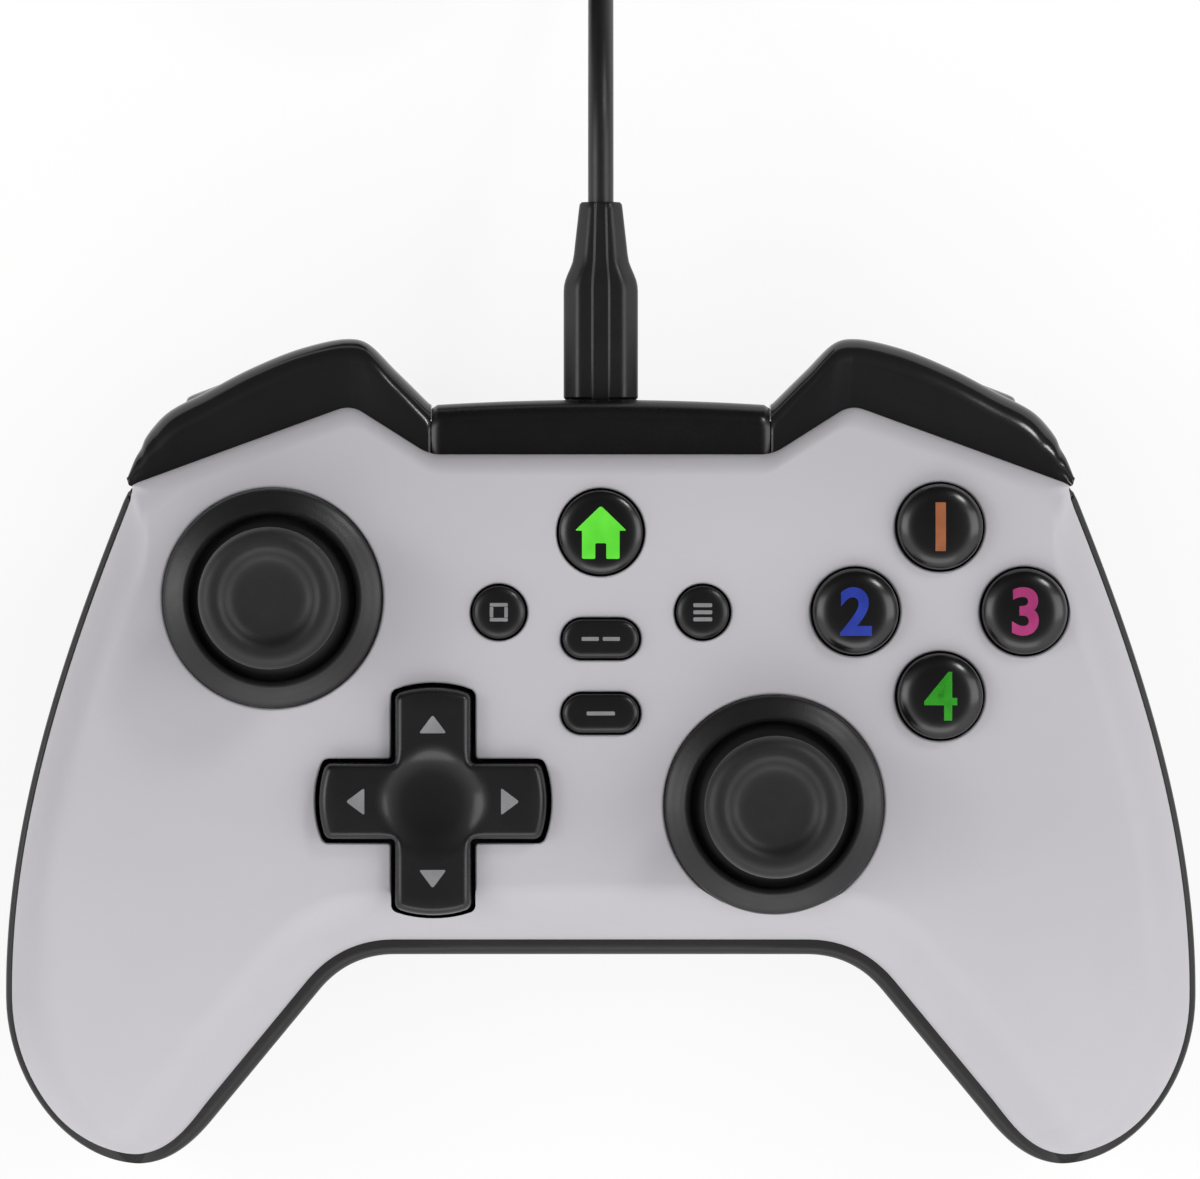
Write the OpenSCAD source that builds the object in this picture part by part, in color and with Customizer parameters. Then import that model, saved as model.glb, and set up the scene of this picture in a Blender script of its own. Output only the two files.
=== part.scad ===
// Wired gamepad with two thumb sticks, a d-pad, face buttons, bumpers, triggers and a coiled cable.
// Millimetres. +Z is up, +Y points to the cable, and the gamepad lies face up on the plane z = 0.

/* [Body outline] */
// Overall width across the grips
body_w = 154; // [150:1:158]
// Overall depth from the grip tips to the bumper peaks
body_d = 106.8; // [105:0.2:109]
// Distance of the grip tips from the middle plane
tip_x = 59.8; // [58:0.2:61]
// Position along the depth of the widest place
widest_y = -31.6; // [-34:0.2:-29]
// Half width of the lower edge between the grips
crotch_x = 32.6; // [31:0.2:34]
// Position of the lower edge between the grips
crotch_y = -26.1; // [-27:0.1:-25.5]
// Half width of the notch between the shoulders
notch_x = 22; // [21:0.2:23]
// Position of the notch between the shoulders
notch_y = 38.4; // [38:0.1:39]
// Distance of the shoulder peaks from the middle plane
peak_x = 32.1; // [31:0.2:33]
// Position of the shoulder peaks of the faceplate
peak_y = 44.8; // [44:0.1:45.4]
// Distance of the outer shoulder corners from the middle plane
shoulder_x = 61; // [60:0.2:62]
// Position of the outer shoulder corners
shoulder_y = 34.2; // [33.6:0.1:34.8]
// Width of the dark rim that shows along the sides
rim_side = 1; // [0.6:0.1:1.4]
// Width of the dark rim that shows along the grips' inner edges and the lower edge
rim_inner = 2; // [1.4:0.1:2.4]

/* [Body heights] */
// Height of the faceplate at its middle
face_z = 36.5; // [36:0.1:37.5]
// Height of the parting line at the sides
part_z = 24; // [23:0.5:25]
// Wall thickness of both shells
wall = 2.4; // [2.2:0.1:2.6]
// Fall of the faceplate from the middle to the sides
side_fall = 2; // [1.5:0.1:2.4]
// Fall of the faceplate from the buttons to the shoulder peaks
front_fall = 2.5; // [2:0.1:3]
// Fall of the faceplate from the controls to the grip tips
grip_fall = 9; // [7:0.5:11]
// Fall of the parting line to the grip tips
part_fall = 5; // [4:0.5:6]
// Width of the rounded edge of the faceplate
edge_round = 8; // [6:0.5:9]
// Height of the faceplate's lip over the bumpers
lip_h = 3; // [2.8:0.1:3.2]
// Width of the rounded edge of that lip
lip_round = 2.8; // [2.7:0.1:3.2]
// Width of the rounded edge of the rear shell
belly_round = 16; // [14:0.5:17]
// Height of the hollows between the belly and the grips
valley_h = 7; // [5:0.5:8]
// Depth of the bays in the rear shell behind the bumpers and triggers
bay_depth = 4; // [3.6:0.1:4.4]
// Height of the rear shell's rim in those bays
bay_z = 18; // [17.4:0.1:18.2]
// Gap along the parting line
part_gap = 0.15; // [0.1:0.05:0.3]

/* [Sticks] */
// Left stick position across the body
left_stick_x = -41.9; // [-43:0.1:-41]
// Left stick position along the depth
left_stick_y = 20; // [19:0.1:21]
// Right stick position across the body
right_stick_x = 22.1; // [21.4:0.1:23]
// Right stick position along the depth
right_stick_y = -6.4; // [-7:0.1:-5.8]
// Diameter of the collar ring
ring_d = 28; // [27:0.2:29]
// Diameter of the hole in the collar ring
ring_hole_d = 22.2; // [22:0.1:22.8]
// Height of the collar ring over the faceplate
ring_rise = 1.8; // [1.4:0.1:2.2]
// Depth of the collar ring's seat in the faceplate
ring_seat = 1.2; // [1:0.1:1.4]
// Diameter of the thumb cap
cap_d = 18; // [17:0.2:19]
// Height of the thumb cap's rim over the faceplate
cap_rise = 12.5; // [11.5:0.1:13.5]
// Thickness of the thumb cap
cap_t = 4.2; // [3.8:0.1:4.6]
// Depth of the dish in the thumb cap
cap_dish = 1.2; // [0.8:0.1:1.4]
// Depth of the stick's pivot below the faceplate
pivot_drop = 6; // [5.8:0.1:6.2]
// Radius of the dust dome about the pivot
dome_r = 11.7; // [11.6:0.05:11.8]
// Wall of the dust dome
dome_t = 1; // [0.9:0.05:1.05]
// Diameter of the neck between dome and cap
neck_d = 9; // [8:0.2:10]
// Diameter of the stick's lever
lever_d = 3.6; // [3.2:0.1:4]
// Width of the stick's housing
stick_base_w = 14; // [13.4:0.2:14.2]
// Travel of the stick when it is pressed
stick_press = 0.5; // [0.3:0.1:0.6]

/* [D-pad] */
// D-pad position across the body
dpad_x = -21.4; // [-22.4:0.1:-20.8]
// D-pad position along the depth
dpad_y = -5.9; // [-6.4:0.1:-5.4]
// Length of the cross from tip to tip
dpad_l = 29.4; // [28:0.2:30]
// Width of the cross's arms
dpad_w = 10; // [9.4:0.1:10.6]
// Height of the cross over the faceplate
dpad_rise = 2.6; // [2:0.1:3]
// Depth of the dish in the middle of the cross
dpad_dish = 1.5; // [1:0.1:1.8]
// Gap around the cross
dpad_gap = 0.6; // [0.5:0.05:0.8]

/* [Buttons] */
// Middle of the face buttons across the body
face_x = 43.3; // [42.6:0.1:44]
// Middle of the face buttons along the depth
face_y = 18.3; // [17.6:0.1:19]
// Distance of the face buttons from their middle
face_pitch = 10.8; // [10.2:0.1:11.4]
// Diameter of the face buttons
face_d = 10.9; // [10.4:0.1:11.4]
// Height of the face buttons over the faceplate
face_rise = 2.6; // [2.2:0.1:3]
// Travel of the face buttons
face_travel = 1.4; // [1:0.1:1.6]
// Guide button position along the depth
guide_y = 28.4; // [28:0.1:28.8]
// Diameter of the guide button
guide_d = 10.7; // [10.2:0.1:11]
// Menu button distance from the middle plane
menu_x = 13; // [12.6:0.1:13.4]
// Menu button position along the depth
menu_y = 18.2; // [17.8:0.1:18.6]
// Diameter of the menu buttons
menu_d = 6.7; // [6.2:0.1:7]
// Upper pill button position along the depth
upper_pill_y = 14.8; // [14.4:0.1:15.2]
// Lower pill button position along the depth
lower_pill_y = 5.3; // [5:0.1:5.6]
// Length of the pill buttons
pill_l = 9.7; // [9:0.1:10.2]
// Width of the pill buttons
pill_w = 4.9; // [4.4:0.1:5.2]
// Height of the guide, menu and pill buttons over the faceplate
small_rise = 1.1; // [0.9:0.1:1.3]
// Travel of the guide, menu and pill buttons
small_travel = 0.8; // [0.6:0.1:0.9]
// Gap around every button
button_gap = 0.3; // [0.25:0.05:0.4]

/* [Bumpers and triggers] */
// Height of the bumpers' lower edge
bumper_low_z = 19.5; // [19.2:0.1:20]
// Wall of the bumpers
bumper_t = 2; // [1.8:0.1:2.2]
// Radius of the bumpers' upper edge
bumper_round = 4.5; // [3.5:0.1:5]
// Width of the triggers
trigger_w = 15; // [14:0.1:16]
// Trigger hinge distance from the middle plane
trigger_x = 44.3; // [43.9:0.1:44.7]
// Trigger hinge position along the depth
trigger_y = 40.9; // [40.6:0.1:41.2]
// Height of the trigger hinge
trigger_z = 14.5; // [14.3:0.1:14.6]
// Turn of the triggers away from straight ahead
trigger_turn = 21; // [19:1:23]
// Diameter of the trigger pins
trigger_pin_d = 3; // [2.8:0.1:3.2]
// Diameter of the bumper pins
bumper_pin_d = 2; // [1.8:0.1:2.2]

/* [Inside] */
// Height of the main board's underside
board_z = 20; // [19.8:0.1:20.2]
// Thickness of the main board
board_t = 1.6; // [1.4:0.1:1.8]
// Position of the main board's front edge
board_front_y = 33; // [32.8:0.1:33.2]
// Radius of the rumble motors
motor_r = 8; // [7:0.2:8.4]
// Length of the rumble motors
motor_l = 16; // [14:0.5:17]
// Radius of the rumble weights
weight_r = 7.5; // [6.5:0.1:8]
// Clearance of turning shafts in their holes
shaft_gap = 0.05; // [0.03:0.01:0.08]

/* [Cable] */
// Diameter of the cord
cord_d = 3.3; // [3:0.1:3.4]
// Width of the moulded plug
plug_w = 9.6; // [9:0.1:10]
// Height of the moulded plug
plug_h = 7; // [6.4:0.1:7.4]
// Length of the moulded plug's straight part
plug_l = 15.2; // [14:0.1:16]
// Length of the moulded plug's tapered part
plug_taper_l = 10.3; // [10:0.1:11]
// Windings in each layer of the coil
coil_turns = 4; // [3:1:4]
// Step from one winding of the coil to the next
coil_step = 3.8; // [3.75:0.01:3.9]
// Mean radius of the coil
coil_r = 18.5; // [17.5:0.1:19]

/* [Hidden] */

$fn = 48;
eps = 0.01;
pale_grey = [0.76, 0.75, 0.77];
black = [0.08, 0.08, 0.085];
dark_grey = [0.16, 0.16, 0.17];
rubber_grey = [0.12, 0.12, 0.125];
icon_green = [0.36, 0.8, 0.22];
board_green = [0.1, 0.3, 0.16];
steel = [0.72, 0.73, 0.75];
silicone = [0.5, 0.52, 0.54];

// General curves
function lerp(a, b, t) = a + (b - a) * t;
function clamp01(t) = max(0, min(1, t));
function smooth(t) = let (c = clamp01(t)) c * c * (3 - 2 * c);
function unit(v) = v / norm(v);
function sum(v, k = 0) = k < len(v) ? v[k] + sum(v, k + 1) : 0;
function flip_x(p) = [-p[0], p[1]];
function bezier(p, t) =
    pow(1 - t, 3) * p[0] + 3 * t * pow(1 - t, 2) * p[1] + 3 * t * t * (1 - t) * p[2] + pow(t, 3) * p[3];
function bend_at(a, c, b, r, steps) =
    let (p = c + r * unit(a - c), q = c + r * unit(b - c))
    [for (k = [0 : steps]) let (t = k / steps) pow(1 - t, 2) * p + 2 * t * (1 - t) * c + t * t * q];
function between(a, b, steps) = [for (k = [1 : steps - 1]) lerp(a, b, k / steps)];
function runs(p) =
    [for (k = 0, s = 0; k < len(p); s = s + (k < len(p) - 1 ? norm(p[k + 1] - p[k]) : 0), k = k + 1) s];
function point_on(p, run, s) =
    let (k = max([for (j = [0 : len(p) - 2]) if (j == 0 || run[j] <= s) j]))
    lerp(p[k], p[k + 1], clamp01((s - run[k]) / (run[k + 1] - run[k])));

// Outline of the right half, from the middle plane to the grip tip
tip = [tip_x, -body_d / 2];
shoulder = [shoulder_x, shoulder_y];
widest = [body_w / 2, widest_y];
notch_bend = 1.6;
peak_bend = 1.8;
shoulder_bend = 2;
crotch_bend = 6;
side_pull = [7.9, -19.6];
widest_pull = 23.6;
tip_side_pull = 11.4;
tip_in_pull = 9.2;
grip_inner = [50.5, -47.8];
grip_inner_pull = [2.5, -3];
tip_inner_pull = 3.8;
bend_steps = 2;
shoulder_steps = 4;
notch_steps = 4;
slope_steps = 2;
lip_steps = 6;
crotch_steps = 6;
grip_steps = 8;
notch_corner = [notch_x, notch_y];
peak_corner = [peak_x, peak_y];
side_curve = [shoulder, shoulder + side_pull, widest + [0, widest_pull], widest];
tip_curve = [widest, widest - [0, tip_side_pull], tip + [tip_in_pull, 0], tip];
inner_tip_curve = [grip_inner, grip_inner + grip_inner_pull, tip - [tip_inner_pull, 0], tip];
side_marks = [0.07, 0.16, 0.28, 0.42, 0.58, 0.78, 1];
tip_steps = 9;
tip_end = 0.985;
lip_edge = concat(
    [[0, notch_y]],
    between([0, notch_y], notch_corner - [notch_bend, 0], notch_steps),
    bend_at([0, notch_y], notch_corner, peak_corner, notch_bend, bend_steps),
    between(notch_corner, peak_corner, slope_steps),
    bend_at(notch_corner, peak_corner, shoulder, peak_bend, bend_steps),
    between(peak_corner, shoulder, lip_steps),
    bend_at(peak_corner, shoulder, shoulder + side_pull, shoulder_bend, shoulder_steps)
);
outer_edge = concat(
    lip_edge,
    [for (t = side_marks) bezier(side_curve, t)],
    [for (k = [1 : tip_steps]) bezier(tip_curve, tip_end * (1 - pow(1 - k / tip_steps, 2)))]
);
inner_edge = concat(
    [[0, crotch_y]],
    bend_at([0, crotch_y], [crotch_x, crotch_y], grip_inner, crotch_bend, crotch_steps),
    [for (k = [0 : grip_steps]) bezier(inner_tip_curve, tip_end * k / grip_steps)]
);
outer_run = runs(outer_edge);
inner_run = runs(inner_edge);
outer_len = outer_run[len(outer_run) - 1];
inner_len = inner_run[len(inner_run) - 1];
half_stations = [for (s = outer_run) s / outer_len];
last_half = len(half_stations) - 1;
stations = concat(
    [for (k = [last_half : -1 : 1]) -half_stations[k]],
    half_stations
);
function outer_at(f) =
    let (p = point_on(outer_edge, outer_run, abs(f) * outer_len)) f < 0 ? flip_x(p) : p;
function inner_at(f) =
    let (p = point_on(inner_edge, inner_run, abs(f) * inner_len)) f < 0 ? flip_x(p) : p;

// Heights of the faceplate, the parting line and the belly
front_fall_y = 26;
grip_fall_y = -8;
function past(y, from, to) = clamp01((y - from) / (to - from));
function face_at(p) =
    face_z - side_fall * pow(2 * p[0] / body_w, 2) - front_fall * pow(past(p[1], front_fall_y, peak_y), 2)
    - grip_fall * pow(past(p[1], grip_fall_y, tip[1]), 2);
function part_at(p) = part_z - part_fall * pow(past(p[1], grip_fall_y, tip[1]), 2);
valley_from = 0.12;
valley_to = 0.66;
belly_clip = 1.2;
function belly_at(f) =
    valley_h * pow(sin(180 * past(abs(f), valley_from, valley_to)), 2) - belly_clip;

// Share of a station that lies in the open bay behind the bumpers
corner_mark = len(lip_edge) - 1 - shoulder_steps / 2;
bay_end_run = outer_run[corner_mark];
bay_blend = outer_run[corner_mark + 1] - bay_end_run;
function bay_share(f) = 1 - smooth((abs(f) * outer_len - bay_end_run) / bay_blend);
deep_end_run = outer_run[len(lip_edge) - shoulder_steps - 2];
deep_blend = bay_end_run - deep_end_run;
function deep_share(f) = 1 - smooth((abs(f) * outer_len - deep_end_run) / deep_blend);

// Shell sections: points across the body from its outer edge to its inner edge
front_round_steps = 4;
front_mid_steps = 6;
rear_round_steps = 5;
rear_mid_steps = 4;
tip_hold = 0.8;
tip_stop = 0.93;
function inside_station(f) =
    abs(f) < tip_hold ? f : sign(f) * lerp(tip_hold, tip_stop, (abs(f) - tip_hold) / (1 - tip_hold));
round_share = 0.46;
function rise(r, run) = sqrt(1 - pow(1 - run / r, 2));
function section_marks(w, ro, ri, round_steps, mid_steps) =
    let (
        a = min(ro, round_share * w),
        b = min(ri, round_share * w),
        high_a = rise(ro, a),
        high_b = rise(ri, b)
    )
    concat(
        [for (k = [0 : round_steps]) let (q = 90 * k / round_steps)
            [a * (1 - cos(q)), high_a * sin(q), 0]],
        [for (k = [1 : mid_steps - 1]) let (t = k / mid_steps)
            [lerp(a, w - b, t), lerp(high_a, high_b, t), t]],
        [for (k = [round_steps : -1 : 0]) let (q = 90 * k / round_steps)
            [w - b * (1 - cos(q)), high_b * sin(q), 1]]
    );
min_round = 0.5;
function front_section(f0, inset) =
    let (
        f = inset > 0 ? inside_station(f0) : f0,
        bay = bay_share(f),
        across = unit(inner_at(f) - outer_at(f)),
        o = outer_at(f) + across * (rim_side * (1 - bay) + inset),
        i = inner_at(f) - across * (rim_inner + inset),
        rim_o = lerp(part_at(o), face_at(outer_at(f)) - lip_h, bay),
        rim_i = part_at(i),
        ro = max(min_round, lerp(edge_round, lip_round, bay) - inset),
        ri = max(min_round, edge_round - inset)
    )
    [for (m = section_marks(norm(i - o), ro, ri, front_round_steps, front_mid_steps))
        let (p = o + across * m[0], rim = lerp(rim_o, rim_i, m[2]))
        [p[0], p[1], rim + m[1] * (face_at(p) - inset - rim)]];
function rear_section(f0, inset) =
    let (
        f = inset > 0 ? inside_station(f0) : f0,
        bay = bay_share(f),
        across = unit(inner_at(f) - outer_at(f)),
        o = outer_at(f) + across * (bay_depth * deep_share(f) + inset),
        i = inner_at(f) - across * inset,
        rim_o = lerp(part_at(o) - part_gap, bay_z, bay),
        rim_i = part_at(i) - part_gap,
        r = belly_round - inset
    )
    [for (m = section_marks(norm(i - o), r, r, rear_round_steps, rear_mid_steps))
        let (p = o + across * m[0], rim = lerp(rim_o, rim_i, m[2]))
        [p[0], p[1], max(inset, rim - m[1] * (rim - inset - belly_at(f)))]];

// Closed skin between an outer and an inner grid of points, open only at its rim
function skin_faces(n, m) =
    let (q = n * m, e = n - 1)
    concat(
        [for (j = [0 : n - 2], k = [0 : m - 2]) let (a = j * m + k)
            each [[a, a + m, a + m + 1], [a, a + m + 1, a + 1]]],
        [for (j = [0 : n - 2], k = [0 : m - 2]) let (a = q + j * m + k)
            each [[a, a + m + 1, a + m], [a, a + 1, a + m + 1]]],
        [for (j = [0 : n - 2]) let (o = j * m, i = q + o) each [[o, i, i + m], [o, i + m, o + m]]],
        [for (j = [0 : n - 2]) let (o = j * m + m - 1, i = q + o) each [[i, o, o + m], [i, o + m, i + m]]],
        [[for (k = [0 : m - 1]) k]],
        [[for (k = [m - 1 : -1 : 0]) q + k]],
        [[q, 0, m - 1], [q, m - 1, q + m - 1]],
        [[for (k = [m - 1 : -1 : 0]) e * m + k]],
        [[for (k = [0 : m - 1]) q + e * m + k]],
        [[e * m, q + e * m, q + e * m + m - 1], [e * m, q + e * m + m - 1, e * m + m - 1]]
    );
function reversed(v) = [for (k = [len(v) - 1 : -1 : 0]) v[k]];
module skin(outside, inside, downward) {
    faces = skin_faces(len(outside), len(outside[0]));
    polyhedron(
        points = concat([for (s = outside) each s], [for (s = inside) each s]),
        faces = downward ? [for (f = faces) reversed(f)] : faces
    );
}

// Closed loft through loops of points, with ends closed by pairing the loop's two halves
function loft_faces(n, m) =
    concat(
        [for (j = [0 : n - 2], k = [0 : m - 1]) let (a = j * m + k, b = j * m + (k + 1) % m)
            each [[a, b + m, a + m], [a, b, b + m]]],
        [for (k = [0 : m / 2 - 2]) let (c = m - 1 - k) each [[k, c - 1, k + 1], [k, c, c - 1]]],
        [for (k = [0 : m / 2 - 2]) let (o = (n - 1) * m, c = m - 1 - k)
            each [[o + k, o + k + 1, o + c - 1], [o + k, o + c - 1, o + c]]]
    );
module loft(loops) {
    polyhedron(points = [for (s = loops) each s], faces = loft_faces(len(loops), len(loops[0])));
}

// Tube along a path that never runs upright
function heading(path, k) = unit(path[min(k + 1, len(path) - 1)] - path[max(k - 1, 0)]);
function tube_ring(c, along, r, sides) =
    let (side = unit(cross(along, [0, 0, 1])), top = cross(side, along))
    [for (k = [0 : sides - 1]) let (a = 360 * (k + 0.5) / sides) c + r * (cos(a) * side + sin(a) * top)];
module tube(path, r, sides) {
    n = len(path);
    faces = concat(
        [for (j = [0 : n - 2], k = [0 : sides - 1])
            let (a = j * sides + k, b = j * sides + (k + 1) % sides)
            each [[a, b, b + sides], [a, b + sides, a + sides]]],
        [for (k = [1 : sides - 2]) [0, k + 1, k]],
        [for (k = [1 : sides - 2]) let (o = (n - 1) * sides) [o, o + k, o + k + 1]]
    );
    polyhedron(
        points = [for (k = [0 : n - 1]) each tube_ring(path[k], heading(path, k), r, sides)],
        faces = faces
    );
}

// Places of the controls
board_top = board_z + board_t;
left_stick = [left_stick_x, left_stick_y];
right_stick = [right_stick_x, right_stick_y];
dpad_at = [dpad_x, dpad_y];
face_at_mid = [face_x, face_y];
face_spots = [
    face_at_mid + [0, face_pitch], face_at_mid - [face_pitch, 0],
    face_at_mid + [face_pitch, 0], face_at_mid - [0, face_pitch]
];
guide_at = [0, guide_y];
menu_at = [menu_x, menu_y];
upper_pill_at = [0, upper_pill_y];
lower_pill_at = [0, lower_pill_y];
cut_h = 30;
cut_over = 1;
fine_fn = 96;

// Contact pads on the board
pad_t = 1.2;
dome_h = 1.8;
dome_d = 5.6;
pad_top = board_top + pad_t + dome_h;
press_gap = 0.2;

module at_xy(p, z = 0) {
    translate([p[0], p[1], z])
        children();
}
module both_sides() {
    children();
    mirror([1, 0, 0])
        children();
}

// Screws: the casing's run up from the rear, the board's run up into the front shell
screw_d = 2.9;
screw_head_d = 5.2;
screw_head_h = 2;
screw_slot_w = 1;
screw_slot_l = 3.4;
screw_slot_h = 0.9;
screw_bite = 6;
boss_r = 3.2;
post_r = 4.2;
post_floor = 2.5;
boss_sink = 1.6;
recess_d = 6;
split_gap = 0.2;
// Each casing screw: place, height of its seat, height where the front boss meets the rear post
grip_screw_in = [3.2, 9.4];
grip_screw = [tip[0] + grip_screw_in[0], tip[1] + grip_screw_in[1], 6.5, 13];
side_screw = [60, 6, 7.5, 18];
belly_screw = [0, -15, 7, 17];
case_screws = [
    grip_screw, [-grip_screw[0], grip_screw[1], grip_screw[2], grip_screw[3]],
    side_screw, [-side_screw[0], side_screw[1], side_screw[2], side_screw[3]],
    belly_screw
];
board_hole_near = [44, -10];
board_hole_far = [27.5, 29.5];
board_holes = [board_hole_near, flip_x(board_hole_near), board_hole_far, flip_x(board_hole_far)];

module screw(length) {
    difference() {
        union() {
            cylinder(d = screw_d, h = length);
            translate([0, 0, -screw_head_h])
                cylinder(d = screw_head_d, h = screw_head_h);
        }
        for (turn = [0, 90])
            rotate(turn)
                translate([-screw_slot_l / 2, -screw_slot_w / 2, -screw_head_h - eps])
                    cube([screw_slot_l, screw_slot_w, screw_slot_h + eps]);
    }
}

// Casing
module front_boss(p, low) {
    top = face_at(p) - boss_sink;
    at_xy(p, low)
        cylinder(r = boss_r, h = top - low);
}
module stadium(l, w, h) {
    for (s = [-1, 1])
        translate([s * (l - w) / 2, 0, 0])
            cylinder(d = w, h = h);
    translate([-(l - w) / 2, -w / 2, 0])
        cube([l - w, w, h]);
}
module cross_plan(l, w) {
    intersection() {
        circle(d = l, $fn = fine_fn);
        union() {
            square([l, w], center = true);
            square([w, l], center = true);
        }
    }
}
stick_hole_gap = 0.5;
ring_seat_gap = 0.1;
module stick_opening(p) {
    at_xy(p, face_at(p) - cut_h / 2)
        cylinder(d = ring_hole_d + 2 * stick_hole_gap, h = cut_h);
    at_xy(p, face_at(p) - ring_seat)
        cylinder(d = ring_d + 2 * ring_seat_gap, h = cut_h);
}
module face_openings() {
    stick_opening(left_stick);
    stick_opening(right_stick);
    for (p = face_spots)
        at_xy(p, face_z - cut_h / 2)
            cylinder(d = face_d + 2 * button_gap, h = cut_h);
    at_xy(guide_at, face_z - cut_h / 2)
        cylinder(d = guide_d + 2 * button_gap, h = cut_h);
    for (p = [menu_at, flip_x(menu_at)])
        at_xy(p, face_z - cut_h / 2)
            cylinder(d = menu_d + 2 * button_gap, h = cut_h);
    for (p = [upper_pill_at, lower_pill_at])
        at_xy(p, face_z - cut_h / 2)
            stadium(pill_l + 2 * button_gap, pill_w + 2 * button_gap, cut_h);
    at_xy(dpad_at, face_z - cut_h / 2)
        linear_extrude(cut_h)
            cross_plan(dpad_l + 2 * dpad_gap, dpad_w + 2 * dpad_gap);
}
module front_shell() {
    color(pale_grey)
        difference() {
            union() {
                skin(
                    [for (f = stations) front_section(f, 0)],
                    [for (f = stations) front_section(f, wall)],
                    false
                );
                for (s = case_screws)
                    front_boss(s, s[3]);
                for (p = board_holes)
                    front_boss(p, board_top);
            }
            face_openings();
            for (s = case_screws)
                at_xy(s, s[3] - eps)
                    cylinder(d = screw_d + 2 * shaft_gap, h = screw_bite + press_gap);
            for (p = board_holes)
                at_xy(p, board_top - eps)
                    cylinder(d = screw_d + 2 * shaft_gap, h = screw_bite + press_gap);
        }
}

// Triggers are hoods that turn on pins in ears of the rear shell
trigger_cheek = 2;
ear_r = 2.9;
ear_t = 2.2;
ear_gap = 0.4;
ear_root = 7.5;
ear_at = trigger_w / 2 - trigger_cheek - ear_gap - ear_t / 2;
module at_trigger() {
    translate([trigger_x, trigger_y, trigger_z])
        rotate(-trigger_turn)
            children();
}
module along_x(r, l) {
    rotate([0, 90, 0])
        cylinder(r = r, h = l, center = true);
}
module trigger_ears() {
    at_trigger()
        for (s = [-1, 1])
            translate([s * ear_at, 0, 0]) {
                along_x(ear_r, ear_t);
                translate([-ear_t / 2, -ear_root, -ear_r])
                    cube([ear_t, ear_root, 2 * ear_r]);
            }
}

// Rumble motors lie on ribs in the grips
motor_at = [57, -22, 12];
motor_rib_t = 2.4;
motor_rib_step = 8;
motor_rib_half = 6.5;
motor_rib_floor = 1.2;
motor_rib_top = 9;
motor_shaft_d = 2;
motor_shaft_deep = 6;
weight_gap = 1;
weight_l = 6;
weight_hub_r = 2.6;
module along_y(r, from, to) {
    translate([0, to, 0])
        rotate([90, 0, 0])
            cylinder(r = r, h = to - from);
}
module motor_ribs() {
    for (s = [-1, 1])
        translate([
            motor_at[0] - motor_rib_half,
            motor_at[1] + s * motor_rib_step / 2 - motor_rib_t / 2,
            motor_rib_floor
        ])
            cube([2 * motor_rib_half, motor_rib_t, motor_rib_top - motor_rib_floor]);
}
module rear_shell() {
    color(black)
        difference() {
            union() {
                skin(
                    [for (f = stations) rear_section(f, 0)],
                    [for (f = stations) rear_section(f, wall)],
                    true
                );
                for (s = case_screws)
                    at_xy(s, s[2] - post_floor)
                        cylinder(r = post_r, h = s[3] - split_gap - s[2] + post_floor);
                both_sides()
                    trigger_ears();
                both_sides()
                    motor_ribs();
            }
            for (s = case_screws) {
                at_xy(s, s[2] - cut_h)
                    cylinder(d = recess_d, h = cut_h);
                at_xy(s, 0)
                    cylinder(d = screw_d + 2 * shaft_gap, h = cut_h);
            }
            both_sides()
                at_trigger()
                    along_x(trigger_pin_d / 2, trigger_w);
            both_sides()
                translate(motor_at)
                    along_y(motor_r, -motor_l, motor_l);
        }
}
module shell_screws() {
    color(steel)
        for (s = case_screws)
            at_xy(s, s[2])
                screw(s[3] - s[2] + screw_bite);
}

// Bridge between the bumpers, with tabs that hold the bumper pins
bridge_gap = 0.3;
bridge_tuck = 0.8;
bridge_drop = 0.6;
bridge_reach = 6.4;
bridge_bulge = 0.7;
bridge_lift = 0.5;
bridge_low_z = bay_z + bridge_lift;
bridge_round = 3;
bridge_round_steps = 5;
bridge_half = notch_x - bridge_gap;
bridge_back = notch_y - bridge_tuck;
bridge_front = notch_y + bridge_reach + bridge_bulge;
bridge_top = face_at([0, notch_y]) - lip_h - bridge_drop;
bulge_fn = 360;
bulge_r = (pow(bridge_half, 2) + pow(bridge_bulge, 2)) / (2 * bridge_bulge);
slot_w = 9.6;
slot_h = 6.2;
socket_mid = 1.9;
plug_z = board_top + socket_mid;
bumper_pin_off = [3.5, 2];
bumper_pin = notch_corner + bumper_pin_off;
tab_w = 6.6;
tab_d = 4.8;
tab_t = 2;
low_tab_z = bridge_low_z;
high_tab_z = 25.4;
eye_gap = 0.3;
eye_low = low_tab_z + tab_t + eye_gap;
eye_high = high_tab_z - eye_gap;
bridge_profile = concat(
    [[bridge_back, bridge_low_z], [bridge_back, bridge_top]],
    [for (k = [0 : bridge_round_steps]) let (a = 90 * k / bridge_round_steps)
        [bridge_front + bridge_round * (sin(a) - 1), bridge_top + bridge_round * (cos(a) - 1)]],
    [[bridge_front, bridge_low_z]]
);
module top_bridge() {
    color(black)
        difference() {
            union() {
                intersection() {
                    rotate([90, 0, 90])
                        translate([0, 0, -bridge_half])
                            linear_extrude(2 * bridge_half)
                                polygon(bridge_profile);
                    translate([0, bridge_front - bulge_r, 0])
                        cylinder(r = bulge_r, h = 2 * face_z, $fn = bulge_fn);
                }
                both_sides()
                    for (z = [low_tab_z, high_tab_z])
                        translate([bridge_half - eps, bumper_pin[1] - tab_d / 2, z])
                            cube([tab_w, tab_d, tab_t]);
            }
            both_sides()
                at_xy(bumper_pin)
                    cylinder(d = bumper_pin_d, h = 2 * face_z);
            translate([-slot_w / 2, 0, plug_z - slot_h / 2])
                cube([slot_w, 2 * bridge_front, slot_h]);
        }
}
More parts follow.
